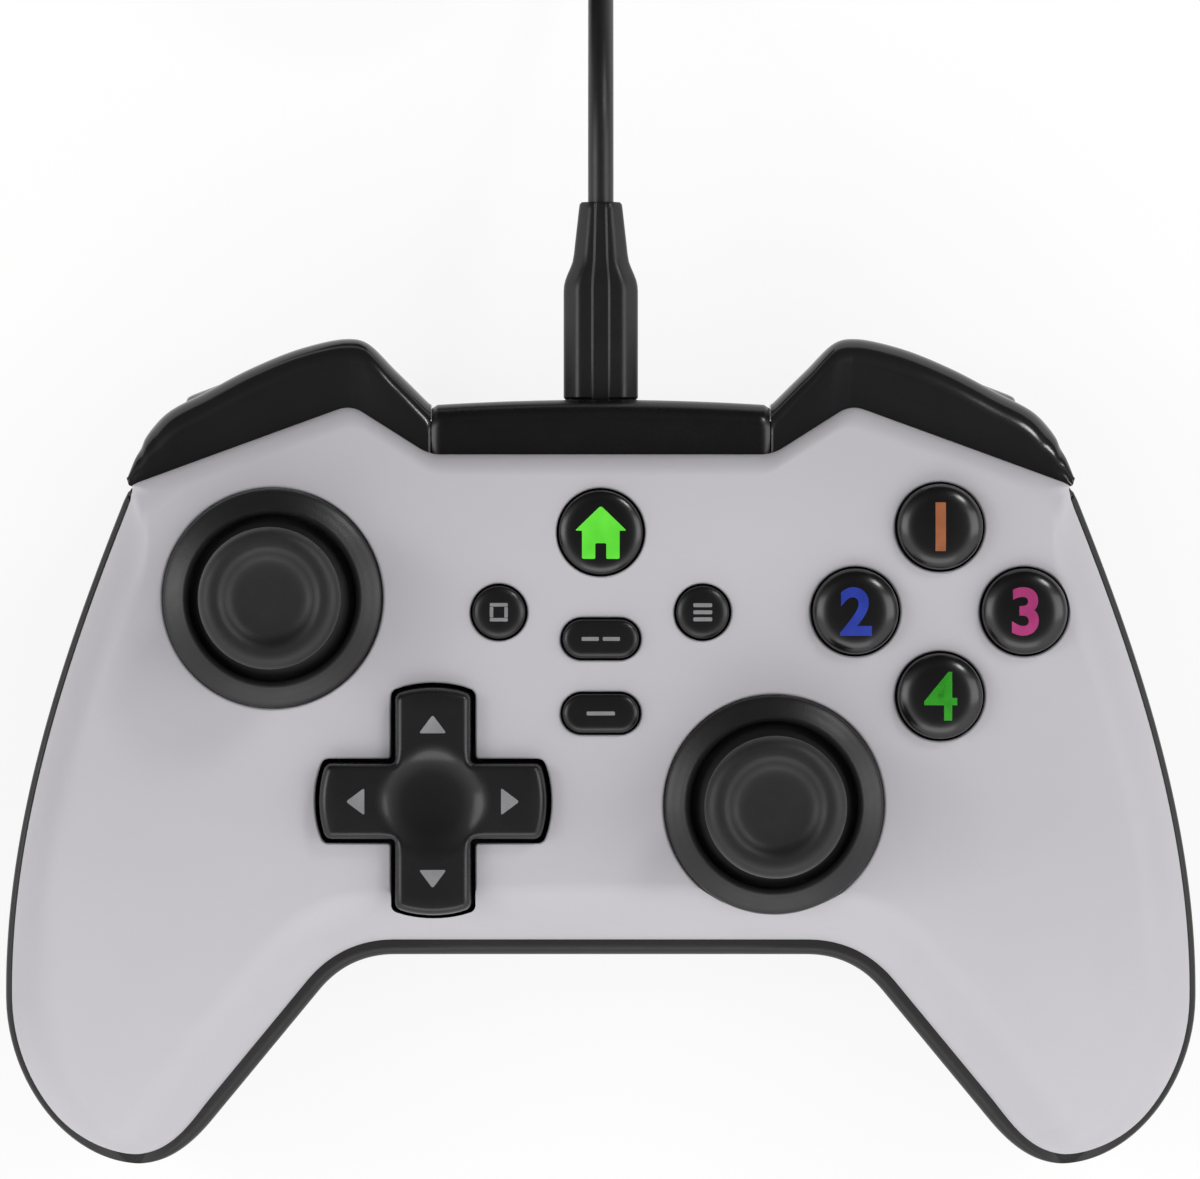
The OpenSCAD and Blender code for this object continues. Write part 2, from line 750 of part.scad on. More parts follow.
module bumper_pins() {
    color(steel)
        both_sides()
            at_xy(bumper_pin, low_tab_z)
                cylinder(d = bumper_pin_d, h = high_tab_z + tab_t - low_tab_z);
}

// Bumpers: an angled strip from under the faceplate's lip to the front, hinged beside the bridge,
// with a closed wall at its outer end
bumper_x = [22.1, 25.5, 28.8, 32.1, 37, 43, 49, 54, 57.6, 58.6, 59.2, 60.3];
bumper_reach = [
    [0, 7.4], [0.8, 9.4], [1.4, 11], [0.5, 9.4], [1.5, 10], [2, 9.6],
    [1.6, 8.2], [1.2, 6.8], [0.6, 5.8], [0.5, 5], [0.6, 3.2], [0.4, 1.2]
];
bumper_closed_from = 10;
bumper_tuck = 0.8;
bumper_end_tuck = 0.1;
bumper_drop = 0.5;
bumper_thin = 0.45;
bumper_soft = 0.6;
bumper_bevel = 0.3;
bumper_base_marks = [0.9, 0.75, 0.5, 0.25, 0];
function lip_line(x) =
    x < peak_x ? lerp(notch_y, peak_y, (x - notch_x) / (peak_x - notch_x))
               : lerp(peak_y, shoulder_y, (x - peak_x) / (shoulder_x - peak_x));
function bumper_loop(k) =
    let (
        tuck = k < bumper_closed_from ? bumper_tuck : bumper_end_tuck,
        back = [bumper_x[k], lip_line(bumper_x[k]) - tuck],
        w = norm(bumper_reach[k]),
        d = unit(bumper_reach[k]),
        t = min(bumper_t, w * bumper_thin),
        r = min(bumper_round, w * bumper_soft),
        bevel = r * bumper_bevel,
        top = face_at(back) - lip_h - bumper_drop,
        front = [[0, top], [w - r, top], [w - bevel, top - bevel], [w, top - r], [w, bumper_low_z]],
        hollow = [
            [w - t, bumper_low_z], [w - t, top - r], [w - bevel - t, top - bevel - t / 2],
            [w - r - t / 2, top - t], [0, top - t]
        ],
        closed = [for (u = bumper_base_marks) [w * u, bumper_low_z]],
        outline = concat(front, k < bumper_closed_from ? hollow : closed)
    )
    [for (p = outline) [back[0] + d[0] * p[0], back[1] + d[1] * p[0], p[1]]];
eye_r = 2.6;
web_t = 2.2;
web_reach = 6.8;
rib_x = 50.5;
rib_t = 3;
rib_low = 22;
rib_high = 25;
rib_reach = 6.6;
switch_w = 6;
switch_d = 4;
switch_h = 3.6;
switch_plunger_d = 2;
switch_plunger_l = 1;
bumper_travel = 0.7;
rib_back = board_front_y + switch_plunger_l + bumper_travel + eye_gap;
module right_bumper() {
    color(dark_grey)
        difference() {
            union() {
                loft([for (k = [0 : len(bumper_x) - 1]) bumper_loop(k)]);
                at_xy(bumper_pin, eye_low)
                    cylinder(r = eye_r, h = eye_high - eye_low);
                translate([bumper_pin[0] - web_t / 2, bumper_pin[1], eye_low])
                    cube([web_t, web_reach, eye_high - eye_low]);
                translate([rib_x - rib_t / 2, rib_back, rib_low])
                    cube([rib_t, lip_line(rib_x) + rib_reach - rib_back, rib_high - rib_low]);
            }
            at_xy(bumper_pin)
                cylinder(d = bumper_pin_d + 2 * shaft_gap, h = high_tab_z + tab_t + eye_gap);
        }
}
module left_bumper() {
    mirror([1, 0, 0])
        right_bumper();
}
module bumper_switches() {
    color(steel)
        both_sides()
            translate([rib_x, board_front_y, board_top]) {
                translate([-switch_w / 2, -switch_d, 0])
                    cube([switch_w, switch_d, switch_h]);
                translate([0, 0, switch_h / 2])
                    along_y(switch_plunger_d / 2, -switch_d / 2, switch_plunger_l);
            }
}

// Triggers: profile across the hinge, outward and up from its axis, and the hollow behind the finger face
trigger_outline = [
    [-2, 4.4], [5, 4.4], [7.2, 3.2], [8.3, 0.8], [8.1, -3], [7.8, -6], [8.1, -8.6], [8.9, -10.6],
    [8.2, -11.4], [6.6, -10.2], [5, -7], [3.6, -4.2], [0, -3.6], [-3.4, -1], [-3.4, 3.2]
];
trigger_hollow = [
    [-6, -16], [-6, 3.2], [4.4, 3.2], [5.8, 2], [6.3, 0],
    [6.2, -3], [5.8, -6], [5.9, -8], [5.2, -9.4], [4, -16]
];
module trigger_profile(points, w) {
    rotate([90, 0, 90])
        translate([0, 0, -w / 2])
            linear_extrude(w)
                polygon(points);
}
module right_trigger() {
    color(black)
        at_trigger()
            difference() {
                trigger_profile(trigger_outline, trigger_w);
                trigger_profile(trigger_hollow, trigger_w - 2 * trigger_cheek);
                along_x(trigger_pin_d / 2 + shaft_gap, trigger_w + cut_over);
            }
}
module left_trigger() {
    mirror([1, 0, 0])
        right_trigger();
}
module trigger_pins() {
    color(steel)
        both_sides()
            at_trigger()
                along_x(trigger_pin_d / 2, trigger_w);
}
spring_wire_d = 0.7;
spring_r = 2.3;
spring_pitch = 1.15;
spring_turns = 3;
spring_rings = 8;
spring_leg = 3;
spring_sides = 6;
function spring_point(t) =
    [spring_pitch * (t - spring_turns / 2), -spring_r * sin(360 * t), -spring_r * cos(360 * t)];
spring_path = concat(
    [spring_point(0) + [0, spring_leg, 0]],
    [for (k = [0 : spring_turns * spring_rings]) spring_point(k / spring_rings)],
    [spring_point(spring_turns) - [0, spring_leg, 0]]
);
module trigger_springs() {
    color(steel)
        both_sides()
            at_trigger()
                rotate([0, 90, 0])
                    tube([for (p = spring_path) [-p[2], p[1], p[0]]], spring_wire_d / 2, spring_sides);
}

// Board, its screws and the cable socket
board_half_front = 54;
board_half_mid = 57;
board_mid_y = 20;
board_half_back = 49;
board_back_y = -19.5;
board_notch_r = 4.7;
socket_w = 9.6;
socket_h = 2 * socket_mid;
socket_l = 7.4;
socket_over = 5.9;
tip_w = 8.3;
tip_h = 2.4;
tip_l = 6;
tip_stop_gap = 0.4;
module main_board() {
    half = [
        [board_half_front, board_front_y],
        [board_half_mid, board_mid_y],
        [board_half_back, board_back_y]
    ];
    color(board_green)
        difference() {
            translate([0, 0, board_z])
                linear_extrude(board_t)
                    polygon(concat(half, [for (k = [2 : -1 : 0]) flip_x(half[k])]));
            for (p = board_holes)
                at_xy(p)
                    cylinder(d = screw_d + 2 * shaft_gap, h = cut_h);
            at_xy(belly_screw)
                cylinder(r = board_notch_r, h = cut_h);
        }
}
module board_screws() {
    color(steel)
        for (p = board_holes)
            at_xy(p, board_z)
                screw(board_t + screw_bite);
}
socket_front = board_front_y + socket_over;
module usb_socket() {
    color(steel)
        difference() {
            translate([-socket_w / 2, socket_front - socket_l, board_top])
                cube([socket_w, socket_l, socket_h]);
            translate([
                -tip_w / 2 - shaft_gap,
                socket_front - tip_l - tip_stop_gap,
                plug_z - tip_h / 2 - shaft_gap
            ])
                cube([tip_w + 2 * shaft_gap, tip_l + cut_over, tip_h + 2 * shaft_gap]);
        }
}

// Buttons: a domed cap, a flange under the faceplate and a plunger down to the contact pad
flange_w = 1.1;
flange_t = 1;
flange_gap = 1.2;
plunger_d = 4.6;
dome_bulge = 0.9;
module plunger(travel, top) {
    low = pad_top + travel + press_gap;
    translate([0, 0, low])
        cylinder(d = plunger_d, h = top - low);
}
module round_button(p, d, rise, travel, bulge) {
    top = face_at(p) + rise;
    flange = face_at(p) - wall - flange_gap;
    crown_r = (pow(d / 2, 2) + pow(bulge, 2)) / (2 * bulge);
    at_xy(p) {
        intersection() {
            translate([0, 0, flange - flange_t])
                cylinder(d = d, h = top - flange + flange_t);
            translate([0, 0, top - crown_r])
                sphere(r = crown_r, $fn = fine_fn);
        }
        translate([0, 0, flange - flange_t])
            cylinder(d = d + 2 * flange_w, h = flange_t);
        plunger(travel, flange - flange_t / 2);
    }
}
module face_button(k) {
    color(black)
        round_button(face_spots[k], face_d, face_rise, face_travel, dome_bulge);
}
module face_button_top() {
    face_button(0);
}
module face_button_left() {
    face_button(1);
}
module face_button_right() {
    face_button(2);
}
module face_button_bottom() {
    face_button(3);
}
small_bulge = 0.4;
module right_menu_button() {
    color(black)
        round_button(menu_at, menu_d, small_rise, small_travel, small_bulge);
}
module left_menu_button() {
    color(black)
        round_button(flip_x(menu_at), menu_d, small_rise, small_travel, small_bulge);
}
module pill_button(p) {
    flange = face_at(p) - wall - flange_gap;
    color(black)
        at_xy(p) {
            translate([0, 0, flange - flange_t])
                stadium(pill_l, pill_w, face_at(p) + small_rise - flange + flange_t);
            translate([0, 0, flange - flange_t])
                stadium(pill_l + 2 * flange_w, pill_w + 2 * flange_w, flange_t);
            plunger(small_travel, flange - flange_t / 2);
        }
}
module upper_pill_button() {
    pill_button(upper_pill_at);
}
module lower_pill_button() {
    pill_button(lower_pill_at);
}

// House icon let into the guide button
icon_w = 6.6;
icon_wall_w = 4.8;
icon_wall_h = 3.6;
icon_roof_h = 3.2;
icon_door_w = 1.4;
icon_door_h = 2;
icon_deep = 1;
icon_proud = 0.1;
icon_gap = 0.04;
guide_top = face_at(guide_at) + small_rise;
module house(grow) {
    mid = (icon_wall_h + icon_roof_h) / 2;
    translate([0, -mid])
        difference() {
            union() {
                translate([-icon_wall_w / 2 - grow, -grow])
                    square([icon_wall_w + 2 * grow, icon_wall_h + grow]);
                polygon([
                    [-icon_w / 2 - 2 * grow, icon_wall_h - grow],
                    [icon_w / 2 + 2 * grow, icon_wall_h - grow],
                    [0, icon_wall_h + icon_roof_h + grow]
                ]);
            }
            translate([-icon_door_w / 2 + grow, -cut_over])
                square([icon_door_w - 2 * grow, icon_door_h + cut_over - grow]);
        }
}
module guide_button() {
    color(black)
        difference() {
            round_button(guide_at, guide_d, small_rise, small_travel, small_bulge);
            at_xy(guide_at, guide_top - icon_deep)
                linear_extrude(cut_h)
                    house(icon_gap);
        }
}
module guide_icon() {
    color(icon_green)
        at_xy(guide_at, guide_top - icon_deep)
            linear_extrude(icon_deep + icon_proud)
                house(0);
}

// Contact pads
face_pad_r = 3.8;
face_pad_bar = 5;
dpad_leg_at = 9.5;
dpad_pad_half = 12.6;
dpad_pad_hole = 3.2;
centre_pad_w = 32;
centre_pad_low = 13.4;
centre_pad_high = 31.4;
centre_tail_w = 11;
centre_tail_low = 2;
module pad_dome(p) {
    at_xy(p, board_top + pad_t - eps)
        cylinder(d = dome_d, h = dome_h + eps);
}
module face_button_pad() {
    color(silicone) {
        for (turn = [0, 90])
            at_xy(face_at_mid, board_top)
                rotate(turn)
                    translate([-face_pitch, -face_pad_bar / 2, 0])
                        cube([2 * face_pitch, face_pad_bar, pad_t]);
        for (p = face_spots) {
            at_xy(p, board_top)
                cylinder(r = face_pad_r, h = pad_t);
            pad_dome(p);
        }
    }
}
module dpad_pad() {
    color(silicone)
        difference() {
            union() {
                at_xy(dpad_at, board_top)
                    linear_extrude(pad_t)
                        square(2 * dpad_pad_half, center = true);
                for (turn = [0 : 90 : 270])
                    pad_dome(dpad_at + dpad_leg_at * [cos(turn), sin(turn)]);
            }
            at_xy(dpad_at)
                cylinder(r = dpad_pad_hole, h = cut_h);
        }
}
module centre_pad() {
    color(silicone) {
        translate([-centre_pad_w / 2, centre_pad_low, board_top])
            cube([centre_pad_w, centre_pad_high - centre_pad_low, pad_t]);
        translate([-centre_tail_w / 2, centre_tail_low, board_top])
            cube([centre_tail_w, centre_pad_low - centre_tail_low + eps, pad_t]);
        for (p = [guide_at, menu_at, flip_x(menu_at), upper_pill_at, lower_pill_at])
            pad_dome(p);
    }
}

// D-pad on its pivot ball
dpad_pivot_drop = 3.5;
dpad_ball_r = 2.2;
dpad_under = 0.5;
dpad_leg_d = 4;
dpad_leg_travel = 1.1;
dpad_post_r = 2.7;
dpad_post_open = 0.6;
dpad_dish_r = 7;
dpad_top = face_at(dpad_at) + dpad_rise;
dpad_pivot_z = face_at(dpad_at) - dpad_pivot_drop;
module dpad() {
    dish_ball_r = (pow(dpad_dish_r, 2) + pow(dpad_dish, 2)) / (2 * dpad_dish);
    low = pad_top + dpad_leg_travel + press_gap;
    color(dark_grey)
        at_xy(dpad_at)
            difference() {
                union() {
                    translate([0, 0, dpad_pivot_z + dpad_under])
                        linear_extrude(dpad_top - dpad_pivot_z - dpad_under)
                            cross_plan(dpad_l, dpad_w);
                    for (turn = [0 : 90 : 270])
                        rotate(turn)
                            translate([dpad_leg_at, 0, low])
                                cylinder(d = dpad_leg_d, h = dpad_pivot_z + 2 * dpad_under - low);
                }
                translate([0, 0, dpad_top - dpad_dish + dish_ball_r])
                    sphere(r = dish_ball_r, $fn = fine_fn);
                translate([0, 0, dpad_pivot_z])
                    sphere(r = dpad_ball_r + shaft_gap);
            }
}
module dpad_pivot() {
    color(steel)
        at_xy(dpad_at, dpad_pivot_z)
            sphere(r = dpad_ball_r);
}
module dpad_post() {
    color(black)
        difference() {
            at_xy(dpad_at, board_top)
                cylinder(r = dpad_post_r, h = dpad_pivot_z - dpad_post_open - board_top);
            at_xy(dpad_at, dpad_pivot_z)
                sphere(r = dpad_ball_r + shaft_gap);
        }
}

// Sticks: collar ring, thumb cap with dust dome, lever, gimbal yoke, housing and sensors
ring_crown = 0.9;
dome_span = 70;
arc_steps = 8;
cap_edge = 0.9;
lever_fit = 0.05;
lever_hub_r = 2.6;
lever_room = 0.2;
lever_reach = 0.8;
axle_d = 1.8;
axle_l = 8.6;
yoke_w = 9;
yoke_hole = 6.4;
yoke_h = 3;
trunnion_d = 2;
trunnion_l = 13.4;
housing_t = 1.5;
housing_over = 2.2;
sensor_t = 2.4;
sensor_w = 7;
sensor_over = 2;
function pivot_z(p) = face_at(p) - pivot_drop;
function arc(r, from, to) =
    [for (k = [0 : arc_steps]) let (a = lerp(from, to, k / arc_steps)) [r * sin(a), r * cos(a)]];
module stick_ring(p) {
    half_hole = ring_hole_d / 2;
    half_ring = ring_d / 2;
    color(rubber_grey)
        at_xy(p, face_at(p))
            rotate_extrude($fn = fine_fn)
                polygon([
                    [half_hole, -ring_seat],
                    [half_ring, -ring_seat],
                    [half_ring, ring_rise - 2 * ring_crown],
                    [half_ring - ring_crown / 2, ring_rise - ring_crown / 2],
                    [half_ring - 2 * ring_crown, ring_rise],
                    [half_hole + ring_crown, ring_rise],
                    [half_hole, ring_rise - ring_crown]
                ]);
}
module stick_cap(p) {
    top = pivot_drop + cap_rise;
    low = top - cap_t;
    bore_r = lever_d / 2 + lever_fit;
    bore_top = low + lever_reach + stick_press + lever_room;
    inner_r = dome_r - dome_t;
    dish_ball = (pow(cap_d / 2 - cap_edge, 2) + pow(cap_dish, 2)) / (2 * cap_dish);
    dish_span = asin((cap_d / 2 - cap_edge) / dish_ball);
    dish = [for (q = arc(dish_ball, dish_span, 0)) [q[0], top - cap_dish + dish_ball - q[1]]];
    color(rubber_grey)
        at_xy(p, pivot_z(p))
            rotate_extrude($fn = fine_fn)
                polygon(concat(
                    arc(dome_r, dome_span, asin(neck_d / 2 / dome_r)),
                    [[neck_d / 2, low], [cap_d / 2 - cap_edge, low]],
                    [[cap_d / 2, low + cap_edge], [cap_d / 2, top - cap_edge]],
                    dish,
                    [[0, bore_top], [bore_r, bore_top]],
                    arc(inner_r, asin(bore_r / inner_r), dome_span)
                ));
}
module stick_lever(p) {
    color(steel)
        at_xy(p, pivot_z(p)) {
            cylinder(d = lever_d, h = pivot_drop + cap_rise - cap_t + lever_reach);
            sphere(r = lever_hub_r);
            along_y(axle_d / 2, -axle_l / 2, axle_l / 2);
        }
}
module stick_yoke(p) {
    color(dark_grey)
        at_xy(p, pivot_z(p))
            difference() {
                union() {
                    cube([yoke_w, yoke_w, yoke_h], center = true);
                    along_x(trunnion_d / 2, trunnion_l);
                }
                cube([yoke_hole, yoke_hole, yoke_h + cut_over], center = true);
                along_y(axle_d / 2 + shaft_gap, -yoke_w, yoke_w);
            }
}
module stick_base(p) {
    h = pivot_z(p) + housing_over - board_top;
    room = stick_base_w - 2 * housing_t;
    color(black)
        at_xy(p, board_top)
            difference() {
                translate([-stick_base_w / 2, -stick_base_w / 2, 0])
                    cube([stick_base_w, stick_base_w, h]);
                translate([-room / 2, -room / 2, housing_t])
                    cube([room, room, h]);
                translate([0, 0, pivot_z(p) - board_top])
                    along_x(trunnion_d / 2 + shaft_gap, 2 * stick_base_w);
            }
}
module stick_sensors(p, side) {
    h = pivot_z(p) + sensor_over - board_top;
    color(dark_grey)
        at_xy(p, board_top)
            for (turn = [0, side * 90])
                rotate(turn)
                    translate([stick_base_w / 2, -sensor_w / 2, 0])
                        cube([sensor_t, sensor_w, h]);
}
module left_stick_ring() {
    stick_ring(left_stick);
}
module left_stick_cap() {
    stick_cap(left_stick);
}
module left_stick_lever() {
    stick_lever(left_stick);
}
module left_stick_yoke() {
    stick_yoke(left_stick);
}
module left_stick_base() {
    stick_base(left_stick);
}
module left_stick_sensors() {
    stick_sensors(left_stick, -1);
}
module right_stick_ring() {
    stick_ring(right_stick);
}
module right_stick_cap() {
    stick_cap(right_stick);
}
module right_stick_lever() {
    stick_lever(right_stick);
}
module right_stick_yoke() {
    stick_yoke(right_stick);
}
module right_stick_base() {
    stick_base(right_stick);
}
module right_stick_sensors() {
    stick_sensors(right_stick, 1);
}

// Rumble motors and their eccentric weights
module right_rumble_motor() {
    color(steel)
        translate(motor_at)
            difference() {
                along_y(motor_r, -motor_l / 2, motor_l / 2);
                along_y(motor_shaft_d / 2 + shaft_gap, -motor_l, -motor_l / 2 + motor_shaft_deep);
            }
}
module left_rumble_motor() {
    mirror([1, 0, 0])
        right_rumble_motor();
}
module right_rumble_weight() {
    low = -motor_l / 2 - weight_gap - weight_l;
    color(steel)
        translate(motor_at) {
            along_y(motor_shaft_d / 2, low, -motor_l / 2 + motor_shaft_deep - weight_gap);
            along_y(weight_hub_r, low, low + weight_l);
            intersection() {
                along_y(weight_r, low, low + weight_l);
                translate([-weight_r, low - cut_over, -weight_r])
                    cube([2 * weight_r, weight_l + 2 * cut_over, weight_r]);
            }
        }
}
module left_rumble_weight() {
    mirror([1, 0, 0])
        right_rumble_weight();
}

// Cable plug at the bridge
plug_gap = 0.1;
plug_back = bridge_front + plug_gap;
plug_bevel = 1.8;
plug_end_w = 5.6;
plug_end_h = 4.8;
plug_end_bevel = 1.4;
nose_w = 9;
nose_h = 5.6;
nose_gap = 0.2;
nose_back = socket_front + nose_gap;
taper_from = plug_back + plug_l;
plug_end = taper_from + plug_taper_l;
module plug_plan(w, h, bevel) {
    polygon([
        [w / 2 - bevel, h / 2], [w / 2, h / 2 - bevel], [w / 2, bevel - h / 2], [w / 2 - bevel, -h / 2],
        [bevel - w / 2, -h / 2], [-w / 2, bevel - h / 2], [-w / 2, h / 2 - bevel], [bevel - w / 2, h / 2]
    ]);
}
module along_cable(y, l) {
    translate([0, y + l, plug_z])
        rotate([90, 0, 0])
            linear_extrude(l)
                children();
}
module cable_plug() {
    color(black) {
        along_cable(plug_back, plug_l)
            plug_plan(plug_w, plug_h, plug_bevel);
        hull() {
            along_cable(taper_from - eps, eps)
                plug_plan(plug_w, plug_h, plug_bevel);
            along_cable(plug_end - eps, eps)
                plug_plan(plug_end_w, plug_end_h, plug_end_bevel);
        }
        along_cable(nose_back, plug_back - nose_back + eps)
            square([nose_w, nose_h], center = true);
    }
}
module cable_plug_tip() {
    color(steel)
        along_cable(socket_front - tip_l, nose_back - socket_front + tip_l)
            square([tip_w, tip_h], center = true);
}

// Cord: out of the plug, down to the table and into a coil; distance from the plug and share of the fall
cord_sides = 8;
cord_fall = [
    [0, 0], [4, 0], [8, 0.01], [12, 0.043], [16, 0.11], [20, 0.207], [24, 0.327], [28, 0.462],
    [32, 0.601], [36, 0.731], [40, 0.841], [44, 0.923], [48, 0.976], [52, 1], [56, 1]
];
coil_start_y = cord_fall[len(cord_fall) - 1][0];
coil_sides = 6;
coil_rings = 24;
coil_layers = 4;
tie_t = 0.7;
tie_gap = 0.35;
tie_w = 9;
coil_base_z = cord_d / 2 + tie_t + tie_gap;
coil_out_r = coil_r + coil_turns * coil_step / 2;
coil_mid = [-coil_out_r, plug_end + coil_start_y + cord_d];
coil_over = 0.25;
coil_end = coil_layers * coil_turns + coil_over;
function coil_layer(t) = min(coil_layers - 1, floor(t / coil_turns));
function coil_inset(t) =
    let (n = coil_layer(t), s = t - n * coil_turns) n % 2 == 0 ? s : coil_turns - s;
climb_turns = 0.5;
function climb(t, n) = smooth((t - n * coil_turns) / climb_turns + 1 / 2);
function coil_height(t) =
    coil_base_z + coil_step * sum([for (n = [1 : coil_layers - 1]) climb(t, n)]);
function coil_point(t) =
    let (r = coil_out_r - coil_step * coil_inset(t))
    [coil_mid[0] + r * cos(360 * t), coil_mid[1] + r * sin(360 * t), coil_height(t)];
coil_first = coil_point(0) - [0, cord_d, 0];
coil_last = coil_point(coil_end) - [cord_d, 0, 0];
coil_path = concat(
    [coil_first],
    [for (k = [0 : coil_end * coil_rings]) coil_point(k / coil_rings)],
    [coil_last]
);
cord_path = [for (p = cord_fall) [0, plug_end + p[0], lerp(plug_z, coil_base_z, p[1])]];
function least_gap(path) =
    min([
        for (a = [0 : len(path) - 1])
            for (b = [a + coil_rings / 2 : 1 : len(path) - 1])
                norm(path[a] - path[b])
    ]) - cord_d;
function path_length(path) = runs(path)[len(path) - 1];
far_plug_z = 4.2;
// Tail from the coil down to the far plug: distance along it and share of the fall
tail_fall = [
    [0, 0], [4, 0], [7, 0.06], [10, 0.2], [13, 0.4],
    [16, 0.6], [19, 0.8], [22, 0.94], [25, 1], [29, 1]
];
tail_path = [for (p = tail_fall)
    [coil_last[0] - p[0], coil_last[1], lerp(coil_last[2], far_plug_z, p[1])]];
tail_end = tail_path[len(tail_path) - 1];
module cord() {
    color(black)
        tube(cord_path, cord_d / 2, cord_sides);
}
module cord_coil() {
    echo(coil_least_gap = least_gap(coil_path));
    echo(cord_length = path_length(cord_path) + path_length(coil_path) + path_length(tail_path));
    color(black)
        tube(coil_path, cord_d / 2, coil_sides);
}
module cord_tail() {
    color(black)
        tube(tail_path, cord_d / 2, cord_sides);
}

// Tie: a flat band round all windings on the coil's far side
module cord_tie() {
    reach = coil_turns * coil_step + cord_d + 2 * tie_gap;
    high = (coil_layers - 1) * coil_step + cord_d + 2 * tie_gap;
    color(dark_grey)
        translate([coil_mid[0] - coil_r - reach / 2, coil_mid[1] - tie_w / 2, 0])
            difference() {
                translate([-tie_t, 0, 0])
                    cube([reach + 2 * tie_t, tie_w, high + 2 * tie_t]);
                translate([0, -cut_over, tie_t])
                    cube([reach, tie_w + 2 * cut_over, high]);
            }
}

// Far plug, lying flat
far_body_l = 20;
far_body_w = 15.6;
far_body_h = 8.2;
far_body_bevel = 1.6;
far_shell_l = 12;
far_shell_w = 12;
far_shell_h = 4.5;
far_shell_t = 0.4;
far_seat = 2;
module at_far_plug(from, l) {
    translate([tail_end[0] - from, tail_end[1], tail_end[2]])
        rotate([90, 0, -90])
            linear_extrude(l)
                children();
}
module usb_plug_body() {
    color(black)
        difference() {
            at_far_plug(0, far_body_l)
                plug_plan(far_body_w, far_body_h, far_body_bevel);
            at_far_plug(far_body_l - far_seat, far_seat + cut_over)
                square([far_shell_w, far_shell_h], center = true);
        }
}
module usb_plug_shell() {
    color(steel)
        difference() {
            at_far_plug(far_body_l - far_seat, far_shell_l + far_seat)
                square([far_shell_w, far_shell_h], center = true);
            at_far_plug(far_body_l, far_shell_l + cut_over)
                square([far_shell_w - 2 * far_shell_t, far_shell_h - 2 * far_shell_t], center = true);
        }
}

front_shell();
rear_shell();
top_bridge();
shell_screws();
main_board();
board_screws();
usb_socket();
guide_button();
guide_icon();
left_menu_button();
right_menu_button();
upper_pill_button();
lower_pill_button();
face_button_top();
face_button_left();
face_button_right();
face_button_bottom();
face_button_pad();
dpad();
dpad_pivot();
dpad_post();
dpad_pad();
centre_pad();
left_bumper();
right_bumper();
bumper_pins();
bumper_switches();
left_trigger();
right_trigger();
trigger_pins();
trigger_springs();
left_rumble_motor();
right_rumble_motor();
left_rumble_weight();
right_rumble_weight();
left_stick_ring();
left_stick_cap();
left_stick_lever();
left_stick_yoke();
left_stick_base();
left_stick_sensors();
right_stick_ring();
right_stick_cap();
right_stick_lever();
right_stick_yoke();
right_stick_base();
right_stick_sensors();
cable_plug();
cable_plug_tip();
cord();
cord_coil();
cord_tail();
cord_tie();
usb_plug_body();
usb_plug_shell();
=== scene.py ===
"""Looks of a wired gamepad: casing, sticks, d-pad, buttons, bumpers, triggers and cable."""
import math

import bmesh
import bpy
import numpy as np
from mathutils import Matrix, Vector

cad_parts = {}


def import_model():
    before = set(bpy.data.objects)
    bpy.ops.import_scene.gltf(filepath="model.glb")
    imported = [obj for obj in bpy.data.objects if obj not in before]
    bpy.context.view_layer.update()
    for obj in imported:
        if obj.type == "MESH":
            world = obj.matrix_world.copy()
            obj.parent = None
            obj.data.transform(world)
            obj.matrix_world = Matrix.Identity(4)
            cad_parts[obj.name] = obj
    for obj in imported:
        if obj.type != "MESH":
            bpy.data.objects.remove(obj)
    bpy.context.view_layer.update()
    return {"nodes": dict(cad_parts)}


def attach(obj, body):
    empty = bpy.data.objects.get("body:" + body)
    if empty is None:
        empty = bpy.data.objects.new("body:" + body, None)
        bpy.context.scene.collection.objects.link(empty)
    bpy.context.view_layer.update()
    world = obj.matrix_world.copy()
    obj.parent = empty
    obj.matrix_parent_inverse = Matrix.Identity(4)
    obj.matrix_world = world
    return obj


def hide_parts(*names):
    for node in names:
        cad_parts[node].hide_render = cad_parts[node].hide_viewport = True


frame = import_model()
nodes = frame["nodes"]
MM = 0.001


# General helpers

def lerp(a, b, t):
    return a + (b - a) * t


def smooth(t):
    t = np.clip(t, 0.0, 1.0)
    return t * t * (3.0 - 2.0 * t)


def mesh_object(name, points, faces, body, material, slot, sharp):
    """A smooth mesh in millimetres that rides on a CAD body; edges beyond `sharp` degrees stay crisp."""
    mesh = bpy.data.meshes.new(name)
    points = [tuple(p) for p in np.asarray(points, float) * MM]
    mesh.from_pydata(points, [], [tuple(int(i) for i in f) for f in faces])
    mesh.validate()
    mesh.update()
    return dress(bpy.data.objects.new(name, mesh), body, material, slot, sharp)


def dress(obj, body, material, slot, sharp):
    if obj.name not in bpy.context.scene.collection.objects:
        bpy.context.scene.collection.objects.link(obj)
    shade(obj.data, sharp)
    obj.data.materials.clear()
    obj.data.materials.append(material)
    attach(obj, body)
    return obj


def shade(mesh, sharp):
    bm = bmesh.new()
    bm.from_mesh(mesh)
    bmesh.ops.recalc_face_normals(bm, faces=bm.faces)
    limit = math.radians(sharp)
    for e in bm.edges:
        e.smooth = len(e.link_faces) == 2 and e.calc_face_angle(0.0) < limit
    for f in bm.faces:
        f.smooth = True
    bm.to_mesh(mesh)
    bm.free()


def grid_faces(n, m, closed_rows=False, start=0):
    """Quads of a grid of n rows of m points; closed_rows joins each row's end to its start."""
    out = []
    for j in range(n - 1):
        for k in range(m if closed_rows else m - 1):
            a, b = start + j * m + k, start + j * m + (k + 1) % m
            out.append((a, b, b + m, a + m))
    return out


